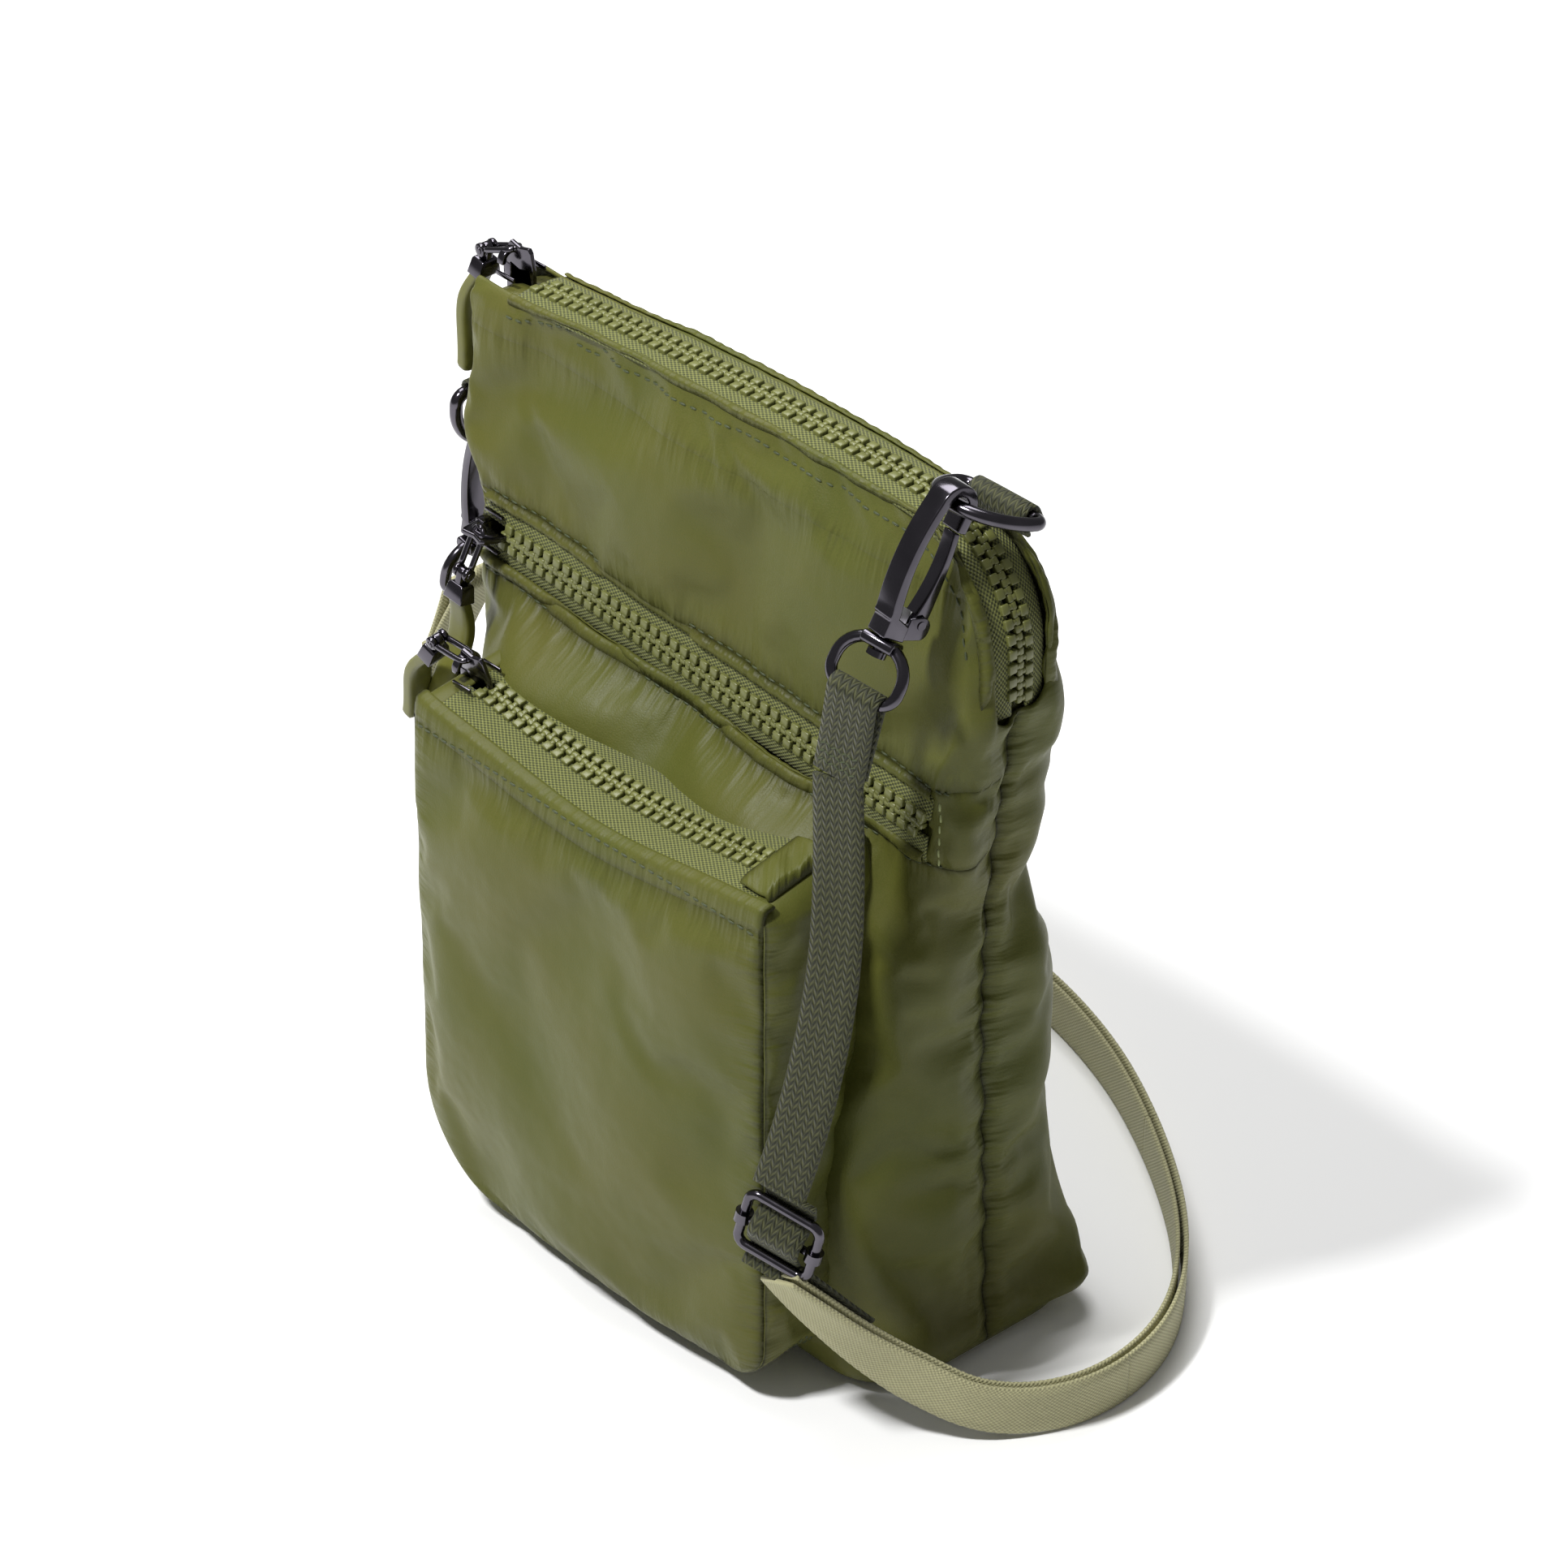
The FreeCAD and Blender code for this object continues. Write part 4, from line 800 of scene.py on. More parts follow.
def make_pocket_gusset(materials):
    """The strip between the pocket's front and the bag, puckered, with its ends turned over the top."""
    line = [(POCKET_LEFT + reach, None) for reach in reversed(GUSSET_LID)]
    line += pocket_edge()
    line += [(POCKET_RIGHT - reach, None) for reach in GUSSET_LID]
    points, uvs, held = [], [], {}
    width = GUSSET_ROWS + 1
    run = 0.0
    for i, (x, z) in enumerate(line):
        if i and z is not None and line[i - 1][1] is not None:
            run += math.hypot(x - line[i - 1][0], z - line[i - 1][1])
        level = POCKET_TOP if z is None else z
        front, back = POCKET_FRONT + CLOTH_GAP, face_y(level) + 1.0
        foot = 1 - smoothstep(POCKET_FOOT, POCKET_FOOT + 26, level)
        for k in range(width):
            share = k / GUSSET_ROWS
            y = front + (back - front) * share
            reach = min(share, 1 - share) * (face_y(level) - POCKET_FRONT)
            belly = 2.8 * (1 - math.exp(-reach / 4.0))
            fold = 0.8 * math.sin(run * 0.38 + 1.1 * math.sin(run * 0.09))
            fold *= math.sin(math.pi * min(1, share * 3)) ** 2
            if z is None:
                points.append((x, y, pocket_lid(x, y) + 0.5))
            else:
                out = (belly + fold) * (1 - foot)
                top = pocket_lid(x, y) - 1.2
                points.append((x + math.copysign(out, x), y, min(z + 0.5 * foot * belly, top)))
            uvs.append((run, reach))
            if k in (0, GUSSET_ROWS) or z is None or level >= POCKET_TOP - 4:
                held[len(points) - 1] = 1.0
    gusset = mesh_object("pocket_gusset_cloth", points, quads(len(line), width), materials["nylon"], uvs=uvs)
    gusset.data.materials.append(materials["lining"])
    cloth_pass(gusset, held, pressure=-1.5, slack=0.02, frames=14, bending=2.0, cap=3.0)
    return thickened(gusset, POCKET_THICK)


# ---------------------------------------------------------------- zips

TOOTH_PITCH, CHAIN_HALF, TAPE_THICK, STRIP_COLUMNS, LINE_STEPS = 3.9, 4.0, 0.8, 6, 40
RIDGE_START, RIDGE_LEVEL, RIDGE_SIDE_X, RIDGE_TURN_STEPS, RIDGE_DROP_STEPS = -84.0, 248.8, 96.4, 16, 5
RIDGE_TURN_OUT, RIDGE_TURN_UP = 31.4, 30.8


def tooth(side, materials):
    """One moulded tooth: a square block on the tape, a neck and a round nose past the middle."""
    place = Matrix.Identity(4)
    pieces = [
        block("tooth_block", (-1.35, 1.5, -1.3), (1.35, 4.0, 1.45), place, materials["teeth"], 0.35, 2),
        block("tooth_neck", (-0.75, 0.2, -1.1), (0.75, 2.0, 1.25), place, materials["teeth"], 0.25, 1),
        block("tooth_nose", (-1.1, -1.0, -1.1), (1.1, 0.65, 1.25), place, materials["teeth"], 0.45, 2),
    ]
    one = joined("tooth", pieces)
    if side < 0:
        for vertex in one.data.vertices:
            vertex.co.y = -vertex.co.y
        one.data.flip_normals()
    return one


def zip_places(path, normals, pitch, offset):
    """Placements along a path at an even pitch, in millimetres."""
    path = [Vector(p) for p in path]
    places, run, want = [], 0.0, offset
    for i in range(len(path) - 1):
        step = path[i + 1] - path[i]
        while want <= run + step.length:
            share = (want - run) / step.length
            normal = Vector(normals[i]).lerp(Vector(normals[i + 1]), share)
            places.append(axes_frame(path[i] + step * share, step, normal))
            want += pitch
        run += step.length
    return places


def tooth_row(name, side, path, normals, materials):
    """A row of teeth on one side of a zip's line."""
    pattern = tooth(side, materials)
    shape = np.array([v.co for v in pattern.data.vertices]) / MM
    polygons = [list(p.vertices) for p in pattern.data.polygons]
    bpy.data.objects.remove(pattern)
    points, faces = [], []
    for place in zip_places(path, normals, TOOTH_PITCH, TOOTH_PITCH * (0.75 + 0.25 * side)):
        start = len(points)
        points += [place @ Vector(p) for p in shape]
        faces += [[start + index for index in polygon] for polygon in polygons]
    return mesh_object(name, points, faces, materials["teeth"])


def strip(name, path, normals, low, high, material, sag=0.0):
    """A flat band beside a line, from low to high across it; sag bows its far edge down."""
    path = [Vector(p) for p in path]
    points, uvs = [], []
    run = 0.0
    for i, point in enumerate(path):
        before, after = path[max(i - 1, 0)], path[min(i + 1, len(path) - 1)]
        if i:
            run += (point - path[i - 1]).length
        place = axes_frame(point, after - before, normals[i])
        for k in range(STRIP_COLUMNS + 1):
            share = k / STRIP_COLUMNS
            across = low + (high - low) * k / STRIP_COLUMNS
            points.append(place @ Vector((0, across, -sag * share ** 2)))
            uvs.append((run, across))
    band = mesh_object(name, points, quads(len(path), STRIP_COLUMNS + 1, flip=True), material, uvs=uvs)
    solid = band.modifiers.new("thickness", "SOLIDIFY")
    solid.thickness = TAPE_THICK * MM
    solid.offset = 0
    return apply_modifiers(band)


def ridge_line(foot=206.5):
    """The ridge zip's line and its outward directions: along the top, round the corner, down the side."""
    points, normals = [], []
    turn_x = RIDGE_TURN_X - 1.0
    for i in range(LINE_STEPS + 1):
        x = RIDGE_START + (turn_x - RIDGE_START) * i / LINE_STEPS
        arch = RIM_ARCH * math.cos(min(abs(x - RIM_ARCH_MIDDLE) / RIM_ARCH_HALF, 1) * math.pi / 2)
        points.append((x, 0, RIDGE_LEVEL + arch))
        normals.append((0, 0, 1))
    lift = points[-1][2] - RIDGE_LEVEL
    for i in range(1, RIDGE_TURN_STEPS + 1):
        angle = math.pi / 2 * i / RIDGE_TURN_STEPS
        x = turn_x + RIDGE_TURN_OUT * math.sin(angle)
        z = RIDGE_TURN_Z + RIDGE_TURN_UP * math.cos(angle) + lift * (1 - i / RIDGE_TURN_STEPS)
        points.append((x, 0, z))
        normals.append((math.sin(angle), 0, math.cos(angle)))
    for i in range(1, RIDGE_DROP_STEPS + 1):
        points.append((RIDGE_SIDE_X, 0, RIDGE_TURN_Z - (RIDGE_TURN_Z - foot) * i / RIDGE_DROP_STEPS))
        normals.append((1, 0, 0))
    return points, normals


def mid_line(start=-80.0, end=84.0):
    """The middle zip's line across the front face."""
    points = []
    for x in np.linspace(start, end, LINE_STEPS + 1):
        level = MID_LEVEL + math.tan(MID_TILT) * x
        points.append((x, face_y(level) + 0.9, level))
    return points, [(0, -math.cos(FACE_SLOPE), math.sin(FACE_SLOPE))] * len(points)


def pocket_line(start=-58.0, end=56.0):
    """The pocket zip's line, sagging between its ends."""
    spots = np.linspace(start, end, LINE_STEPS + 1)
    points = [(x, POCKET_CHAIN_Y, POCKET_CHAIN_Z - pocket_sag(x)) for x in spots]
    return points, [(0, -math.sin(POCKET_ZIP_TILT), math.cos(POCKET_ZIP_TILT))] * len(points)


def make_zips(materials):
    """Tapes and teeth of the three zips, standing for their CAD nodes."""
    # For each zip: its chain's line, its tapes' line, then its two sides' names, tape widths and sags.
    zips = {
        "top": (ridge_line(), ridge_line(203.0), ("front", "back"), (5.4, 5.4), (1.2, 1.2)),
        "mid": (mid_line(), mid_line(-87.0, 86.0), ("lower", "upper"), (6.0, 6.0), (1.4, 1.4)),
        "pocket": (pocket_line(), pocket_line(-62.0, 62.0), ("front", "back"), (11.0, 17.0), (0.0, 8.0)),
    }
    for name, (chain, tape, words, wides, sags) in zips.items():
        for side, word, wide, sag in zip((-1, 1), words, wides, sags):
            inner, outer = side * (CHAIN_HALF - 1.6), side * (CHAIN_HALF + wide)
            band = strip(f"{name}_tape_{word}", *tape, inner, outer, materials["tape"], sag)
            declared(band, "bag", "zip_tape", f"{name}_zip_tape_{word}")
            row = tooth_row(f"{name}_teeth_{word}", side, *chain, materials)
            declared(row, "bag", "zip_teeth", f"{name}_zip_teeth_{word}")


def shifted(line, inwards, first, last):
    """Part of a zip's line, moved in behind the zip."""
    points, normals = line
    moved = [Vector(p) - Vector(n) * inwards for p, n in zip(points, normals)]
    return moved[first:last], normals[first:last]


def make_facings(materials):
    """Cloth behind the ends of the middle and ridge zips."""
    corner = [(-96.6, 0, 236), (-96.4, 0, 243), (-94.5, 0, 247), (-90, 0, 249), (-82, 0, 250)]
    lean = [(-1, 0, 0), (-1, 0, 0.2), (-0.7, 0, 0.7), (-0.2, 0, 1), (0, 0, 1)]
    lines = {
        "facing_mid_left": shifted(mid_line(-90.0, 89.0), 2.2, 0, 5),
        "facing_mid_right": shifted(mid_line(-90.0, 89.0), 2.2, -5, None),
        "facing_ridge_foot": shifted(ridge_line(199.0), 1.5, -4, None),
        "facing_ridge_left": shifted((corner, lean), 1.8, 0, None),
    }
    for name, line in lines.items():
        facing = strip(name, *line, -FACING_HALF, FACING_HALF, materials["nylon"], 1.0)
        declared(facing, "bag", "shell_nylon")


def make_end_tab(materials):
    """The folded cloth tab over the pocket zip's right end."""
    points, uvs = [], []
    for i in range(END_TAB_ACROSS + 1):
        for k in range(END_TAB_DEEP + 1):
            x = END_TAB_LEFT + (END_TAB_RIGHT - END_TAB_LEFT) * i / END_TAB_ACROSS
            y = POCKET_CHAIN_Y - END_TAB_FRONT + (END_TAB_FRONT + END_TAB_BACK) * k / END_TAB_DEEP
            rise = 3.4 - 2.6 * smoothstep(0.0, 2.0, i - END_TAB_ACROSS + 2)
            rise -= 1.6 * smoothstep(0.0, 3.0, 2 - k)
            fold = 0.7 * math.sin(0.55 * y + 0.35 * x) * math.sin(math.pi * i / END_TAB_ACROSS)
            points.append((x, y, pocket_lid(x, y) + rise + fold))
            uvs.append((x + y, min(i, END_TAB_ACROSS - i) * 1.2))
    faces = quads(END_TAB_ACROSS + 1, END_TAB_DEEP + 1, flip=True)
    sheet = mesh_object("zip_end_tab", points, faces, materials["nylon"], uvs=uvs)
    declared(thickened(sheet, POCKET_THICK), "bag", "shell_nylon", "pocket_zip_end_tab")


# ---------------------------------------------------------------- stitching

# A stitch's rings: place along it as a share of its length, and width as a share of the thread's.
STITCH_RINGS = ((-0.5, 0.12), (-0.38, 0.85), (0.0, 1.0), (0.38, 0.85), (0.5, 0.12))
STITCH_SIDES, STITCH_LIFT = 6, 0.12


def stitch_run(name, line, surface, materials, thread="thread_dark", long=2.5, gap=0.9):
    """Stitches along a line, laid on a surface. The line is in millimetres."""
    tree = BVHTree.FromObject(surface, bpy.context.evaluated_depsgraph_get())
    line = [Vector(p) for p in line]
    samples, run, want = [], 0.0, 0.0
    for start, end in zip(line, line[1:]):
        step = end - start
        while want <= run + step.length:
            samples.append(start + step * ((want - run) / max(step.length, 1e-9)))
            want += long + gap
        run += step.length
    points, faces = [], []
    for first, second in zip(samples, samples[1:]):
        spot, normal, _, _ = tree.find_nearest((first + second) / 2 * MM)
        if spot is None:
            continue
        place = axes_frame(spot / MM + normal * STITCH_LIFT, (second - first).normalized(), normal)
        faces += quads(len(STITCH_RINGS), STITCH_SIDES, ring=True, start=len(points))
        for ring, wide in STITCH_RINGS:
            dip = -0.25 * (2 * abs(ring)) ** 3
            for k in range(STITCH_SIDES):
                angle = 2 * math.pi * k / STITCH_SIDES
                points.append(place @ Vector((ring * long, 0.34 * wide * math.cos(angle),
                                              0.26 * wide * math.sin(angle) + dip)))
    return mesh_object(name, points, faces, materials[thread])


def offset_line(path, normals, across, out=0.5):
    """A line beside another, across it and a little out of it."""
    path = [Vector(p) for p in path]
    line = []
    for i, point in enumerate(path):
        before, after = path[max(i - 1, 0)], path[min(i + 1, len(path) - 1)]
        line.append(axes_frame(point, after - before, normals[i]) @ Vector((0, across, out)))
    return line


def laid_on(surface, rails):
    """A surface's nearest points to rows of points, and its normals there, evened out along the rows."""
    tree = BVHTree.FromObject(surface, bpy.context.evaluated_depsgraph_get())
    found = [[tree.find_nearest(point * MM)[:2] for point in across] for across in zip(*rails)]
    grid = np.array([[[tuple(spot / MM), tuple(normal)] for spot, normal in across] for across in found])
    for _ in range(WELT_EVENING):
        grid[1:-1] = (grid[:-2] + 2 * grid[1:-1] + grid[2:]) / 4
    return grid[:, :, 0], grid[:, :, 1]


def welt(name, line, surface, inner, outer, materials):
    """An opening's puffy turned edge: a roll of cloth laid on the shell between two offsets of a line."""
    path, normals = line
    steps = range(WELT_STEPS + 1)
    rails = [offset_line(path, normals, inner + (outer - inner) * k / WELT_STEPS, 0.6) for k in steps]
    spots, leans = laid_on(surface, rails)
    points, uvs = [], []
    run = 0.0
    for i in range(len(path)):
        run += (rails[0][i] - rails[0][i - 1]).length if i else 0.0
        ripple = 0.16 * math.sin(run * 1.3 + 1.5 * math.sin(run * 0.31))
        for k in steps:
            swell = (WELT_RISE + ripple) * math.sin(math.pi * (0.12 + 0.88 * k / WELT_STEPS)) - 0.25
            points.append(spots[i][k] + leans[i][k] * swell)
            uvs.append((run, abs(outer - inner) * (1 - k / WELT_STEPS)))
    faces = quads(len(path), WELT_STEPS + 1)
    if outer < inner:
        faces = [quad[::-1] for quad in faces]
    roll = thickened(mesh_object(name, points, faces, materials["nylon"], uvs=uvs), 0.5)
    declared(roll, "bag", "shell_nylon")


def finely(line, times):
    """A zip's line with more points along it."""
    points, normals = line
    points, normals = [Vector(p) for p in points], [Vector(n) for n in normals]
    fine_points, fine_normals = [], []
    for i in range(len(points) - 1):
        for k in range(times):
            fine_points.append(points[i].lerp(points[i + 1], k / times))
            fine_normals.append(normals[i].lerp(normals[i + 1], k / times))
    return fine_points + [points[-1]], fine_normals + [normals[-1]]


def make_welts(shell, materials):
    """The turned edges beside the middle and ridge zips."""
    mid, ridge = finely(mid_line(-86.0, 85.5), 4), finely(ridge_line(205.0), 3)
    for side in (-1, 1):
        welt(f"mid_welt_{side + 1}", mid, shell, side * 7.6, side * 11.3, materials)
        welt(f"ridge_welt_{side + 1}", ridge, shell, side * 8.8, side * 13.2, materials)


def make_stitching(shell, panel, gusset, materials):
    """Topstitching beside the zips and round the pocket."""
    ridge, mid = ridge_line(), mid_line(-84.0, 93.0)
    off_mid = MID_HALF + STITCH_OFF
    end_x = MID_OPEN_RIGHT + 3.5
    level = MID_LEVEL + math.tan(MID_TILT) * end_x
    mid_end = [(end_x, face_y(level), level + side * (MID_HALF + 3)) for side in (-1, 1)]
    top_x = np.linspace(POCKET_LEFT + 2, POCKET_RIGHT - 2, 30)
    pocket_top = [(x, POCKET_FRONT - 2, POCKET_TOP - STITCH_OFF) for x in top_x]
    flange, second = ([(x, face_y(z) - off, z) for x, z in pocket_edge()] for off in (2.6, 5.6))
    runs = [
        ("ridge_stitch", offset_line(*ridge, -13.5, -4.0), shell, "thread_dark"),
        ("ridge_stitch", offset_line(*ridge, 13.5, -4.0), shell, "thread_dark"),
        ("mid_stitch_upper", offset_line(*mid, off_mid, 1), shell, "thread_dark"),
        ("mid_stitch_lower", offset_line(*mid, -off_mid, 1), shell, "thread_dark"),
        ("mid_stitch_end", mid_end, shell, "thread_light"),
        ("pocket_stitch_top", pocket_top, panel, "thread_dark"),
        ("pocket_stitch_flange", flange, gusset, "thread_dark"),
        ("pocket_stitch_second", second, gusset, "thread_dark"),
    ]
    for number, (name, line, surface, thread) in enumerate(runs):
        declared(stitch_run(f"{name}_{number}", line, surface, materials, thread), "bag", "shell_nylon")


def make_bag(materials):
    """Shell, pocket and linings."""
    shell, panel, gusset = make_shell(materials), make_pocket_panel(materials), make_pocket_gusset(materials)
    for piece, nodes in ((shell, ("back_panel", "front_panel_lower", "front_panel_upper", "mid_zip_facings",
                                  "main_lining", "mid_zip_pocket_bag")),
                         (panel, ("pocket_panel", "pocket_lining")), (gusset, ("pocket_gusset",))):
        declared(piece, "bag", "shell_nylon", *nodes)
    make_welts(shell, materials)
    make_stitching(shell, panel, gusset, materials)


# ---------------------------------------------------------------- places taken from the CAD

JOINTS = {joint["name"]: joint for joint in frame["joints"]}


def joint_spot(name):
    """A joint's point, in millimetres."""
    return Vector(JOINTS[name]["pos_m"]) / MM


def joint_axis(name):
    """A joint's axis."""
    return Vector(JOINTS[name]["axis"])


def arc_through(start, middle, end, steps):
    """Points of the plane arc through three points, ends included."""
    corners = (start, middle, end)
    (ax, ay), (bx, by), (cx, cy) = corners
    d = 2 * (ax * (by - cy) + bx * (cy - ay) + cx * (ay - by))
    a2, b2, c2 = (x ** 2 + y ** 2 for x, y in corners)
    ux = (a2 * (by - cy) + b2 * (cy - ay) + c2 * (ay - by)) / d
    uy = (a2 * (cx - bx) + b2 * (ax - cx) + c2 * (bx - ax)) / d
    radius = math.hypot(ax - ux, ay - uy)
    first, mid, last = (math.atan2(y - uy, x - ux) for x, y in corners)
    turn = (last - first) % (2 * math.pi)
    if (mid - first) % (2 * math.pi) > turn:
        turn -= 2 * math.pi
    angles = [first + turn * i / steps for i in range(steps + 1)]
    return [(ux + radius * math.cos(angle), uy + radius * math.sin(angle)) for angle in angles]


def rounded_outline(corners, radii, steps):
    """A closed plane outline with its corners rounded."""
    points = []
    count = len(corners)
    for i, corner in enumerate(corners):
        at = Vector((*corner, 0))
        before = (Vector((*corners[i - 1], 0)) - at).normalized()
        after = (Vector((*corners[(i + 1) % count], 0)) - at).normalized()
        if radii[i] <= 0:
            points.append(corner)
            continue
        half = before.angle(after) / 2
        cut = radii[i] / math.tan(half)
        centre = at + (before + after).normalized() * (radii[i] / math.sin(half))
        start, end = at + before * cut - centre, at + after * cut - centre
        for k in range(steps + 1):
            share = start.lerp(end, k / steps).normalized() * radii[i]
            points.append(((centre + share).x, (centre + share).y))
    return points


# ---------------------------------------------------------------- webbing

STRAP_WIDE, STRAP_THICK, STRAP_STEP, LAYER_SHIFT = 15.0, 1.3, 0.8, 1.15
TAIL_STEPS, TAIL_NARROWER, TAIL_OFFSET = 35, 0.6, (3.9, 3.2)
SCALLOP_DEPTH, SCALLOP_PITCH = 0.16, 2.4


def resampled(line, step):
    """A line at an even step, ends kept."""
    line = np.array([tuple(p) for p in line], float)
    runs = np.concatenate([[0], np.cumsum(np.linalg.norm(np.diff(line, axis=0), axis=1))])
    count = max(2, int(round(runs[-1] / step)) + 1)
    wants = np.linspace(0, runs[-1], count)
    return np.stack([np.interp(wants, runs, line[:, k]) for k in range(3)], axis=1)


def ribbon(name, line, across, material, wide=STRAP_WIDE, offset=(0.0, 0.0), start_run=0.0):
    """Webbing along a line with scalloped edges. across holds (share of length, width direction) keys."""
    line = np.asarray(line, float)
    along = np.gradient(line, axis=0)
    along /= np.linalg.norm(along, axis=1, keepdims=True)
    runs = np.concatenate([[0], np.cumsum(np.linalg.norm(np.diff(line, axis=0), axis=1))])
    shares = runs / runs[-1]
    keys, ways = zip(*across)
    side = np.stack([np.interp(shares, keys, channel) for channel in zip(*ways)], axis=1)
    side -= along * np.sum(side * along, axis=1, keepdims=True)
    side /= np.linalg.norm(side, axis=1, keepdims=True)
    out = np.cross(side, along)
    half, lip = wide / 2, STRAP_THICK / 2
    upper = [(-half, 0.0), (-half + 0.35, lip * 0.9), (-half * 0.55, lip), (0.0, lip), (half * 0.55, lip),
             (half - 0.35, lip * 0.9), (half, 0.0)]
    outline = upper + [(u, -v) for u, v in reversed(upper[1:-1])]
    shift = np.interp(shares, [0, 1], offset)
    points, uvs = [], []
    for i, run in enumerate(runs):
        scallop = SCALLOP_DEPTH * math.sin((run + start_run) * 2 * math.pi / SCALLOP_PITCH)
        for u, v in outline:
            edge = 1.0 if abs(u) >= half - 0.4 else 0.0
            reach = u + math.copysign(scallop * edge, u)
            points.append(line[i] + side[i] * reach + out[i] * (v + shift[i]))
            uvs.append((run + start_run, u + (0.0 if v >= 0 else 0.9)))
    rows, columns = len(runs), len(outline)
    faces = quads(rows, columns, ring=True, flip=True) + end_caps(rows, columns, flip=True)
    return mesh_object(name, points, faces, material, uvs=uvs)


# The strap's routes in metres: its hanging stretch, and its doubled stretch round the floor to the left hook.
HANGING_ROUTE = [(0.077, -0.0419, 0.1924), (0.0802, -0.044, 0.166), (0.0833, -0.0485, 0.14),
                 (0.0835, -0.0545, 0.114), (0.0815, -0.0605, 0.09), (0.0792, -0.0636, 0.078)]
FLOOR_ROUTE = [(0.08, -0.064, 0.052), (0.088, -0.053, 0.036), (0.101, -0.039, 0.02),
               (0.118, -0.024, 0.009), (0.13, 0.002, 0.0078), (0.124, 0.035, 0.0078),
               (0.099, 0.065, 0.0078), (0.062, 0.091, 0.0078), (0.02, 0.112, 0.0078),
               (-0.027, 0.123, 0.0078), (-0.074, 0.118, 0.009), (-0.108, 0.097, 0.017),
               (-0.129, 0.067, 0.032), (-0.138, 0.037, 0.054), (-0.139, 0.015, 0.078),
               (-0.1375, 0.0065, 0.102), (-0.1337, 0.005, 0.1177)]
BUCKLE_WAY = (0.93, 0.3, -0.25)
HANGING_ACROSS = [(0.0, (0.965, 0.193, -0.176)), (1.0, BUCKLE_WAY)]
FLOOR_ACROSS = [(0.0, BUCKLE_WAY), (0.04, (0.75, 0.1, 0.65)), (0.085, (0.35, 0.2, 0.9)),
                (0.13, (0.05, 0.0, 1.0)), (0.75, (0.0, 0.0, 1.0)), (0.86, (0.1, 0.45, 0.75)),
                (0.93, (0.0, 0.8, 0.35)), (1.0, (0.0, 1.0, 0.0))]
FLOOR_BODIES = (("right_hook", "right_ring"), ("right_ring", "bag"), ("bag", "left_ring"),
                ("left_ring", "left_hook"), ("left_hook", "left_eye"))


def route_line(route):
    """Points along a route's NURBS spline, in millimetres."""
    curve = bpy.data.curves.new("route", "CURVE")
    curve.dimensions = "3D"
    curve.resolution_u = 24
    spline = curve.splines.new("NURBS")
    spline.points.add(len(route) - 1)
    for point, spot in zip(spline.points, route):
        point.co = (*spot, 1)
    spline.order_u = 3
    spline.use_endpoint_u = True
    holder = bpy.data.objects.new("route", curve)
    mesh = bpy.data.meshes.new_from_object(holder)
    line = [v.co / MM for v in mesh.vertices]
    bpy.data.objects.remove(holder)
    return resampled(line, STRAP_STEP)


def keys_between(keys, low, high):
    """The part of a table of keys between two shares, rescaled to 0..1."""
    places = [k for k, _ in keys]
    ways = np.array([way for _, way in keys], float)
    inside = [k for k in places if low < k < high]
    return [((k - low) / (high - low), tuple(np.interp(k, places, ways[:, i]) for i in range(3)))
            for k in [low] + inside + [high]]


def strap_length(piece, node):
    """Bakes one stretch of the strap's placement into its mesh and hides the CAD node it stands for."""
    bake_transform(piece)
    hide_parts(node)


def make_strap(materials):
    """The single hanging stretch, then the doubled stretch in five lengths."""
    line = route_line(HANGING_ROUTE)
    hanging = ribbon("strap_hanging_webbing", line, HANGING_ACROSS, materials["webbing"])
    strap_length(hanging, "strap_hanging")
    line = route_line(FLOOR_ROUTE)
    last, count = len(line) - 1, len(FLOOR_BODIES)
    for number, bodies in enumerate(FLOOR_BODIES):
        low, high = (round(i * last / count) for i in (number, number + 1))
        part = line[low:high + 1]
        keys = keys_between(FLOOR_ACROSS, low / last, high / last)
        layers = [ribbon("layer", part, keys, materials["webbing_pale"], offset=(shift, shift),
                         start_run=low * STRAP_STEP) for shift in (-LAYER_SHIFT, LAYER_SHIFT)]
        if number == 0:
            keys = keys_between(FLOOR_ACROSS, 0, TAIL_STEPS / last)
            layers.append(ribbon("tail", part[:TAIL_STEPS + 1], keys, materials["webbing"],
                                 STRAP_WIDE - TAIL_NARROWER, TAIL_OFFSET))
        strap_length(joined(f"strap_doubled_{number + 1}", layers), "strap_doubled")


# ---------------------------------------------------------------- hooks, eyes and rings

HOOK_INNER, HOOK_BAR, HOOK_TALL, HOOK_THICK, GATE_THICK = 3.0, 2.9, 36.0, 6.6, 4.4
HOOK_OUTER = HOOK_INNER + HOOK_BAR
SPINE_BOW, SPINE_MIDDLE, NOSE_LEVEL, EAR_THICK = 1.6, -16.0, -6.0, 0.84
PIN_X, PIN_Y, EAR = 5.4, -HOOK_TALL + 5.4, 3.1
STEM_SHIFT, EYE_GAP, EYE_BLOCK, EYE_HALF, EYE_WIRE, EYE_TALL = -1.4, 0.35, 3.2, 9.8, 1.6, 14.0
EYE_SADDLE = 9.4
EYE_TURN = {"right": 20.0, "left": 0.0}


def hook_frame(side):
    """The hook's placement: its top bears on the ring, and it hangs down its own -Z."""
    return axes_frame(joint_spot(f"{side}_hook_hinge"), joint_axis(f"{side}_hook_hinge"),
                      joint_axis(f"{side}_swivel"))


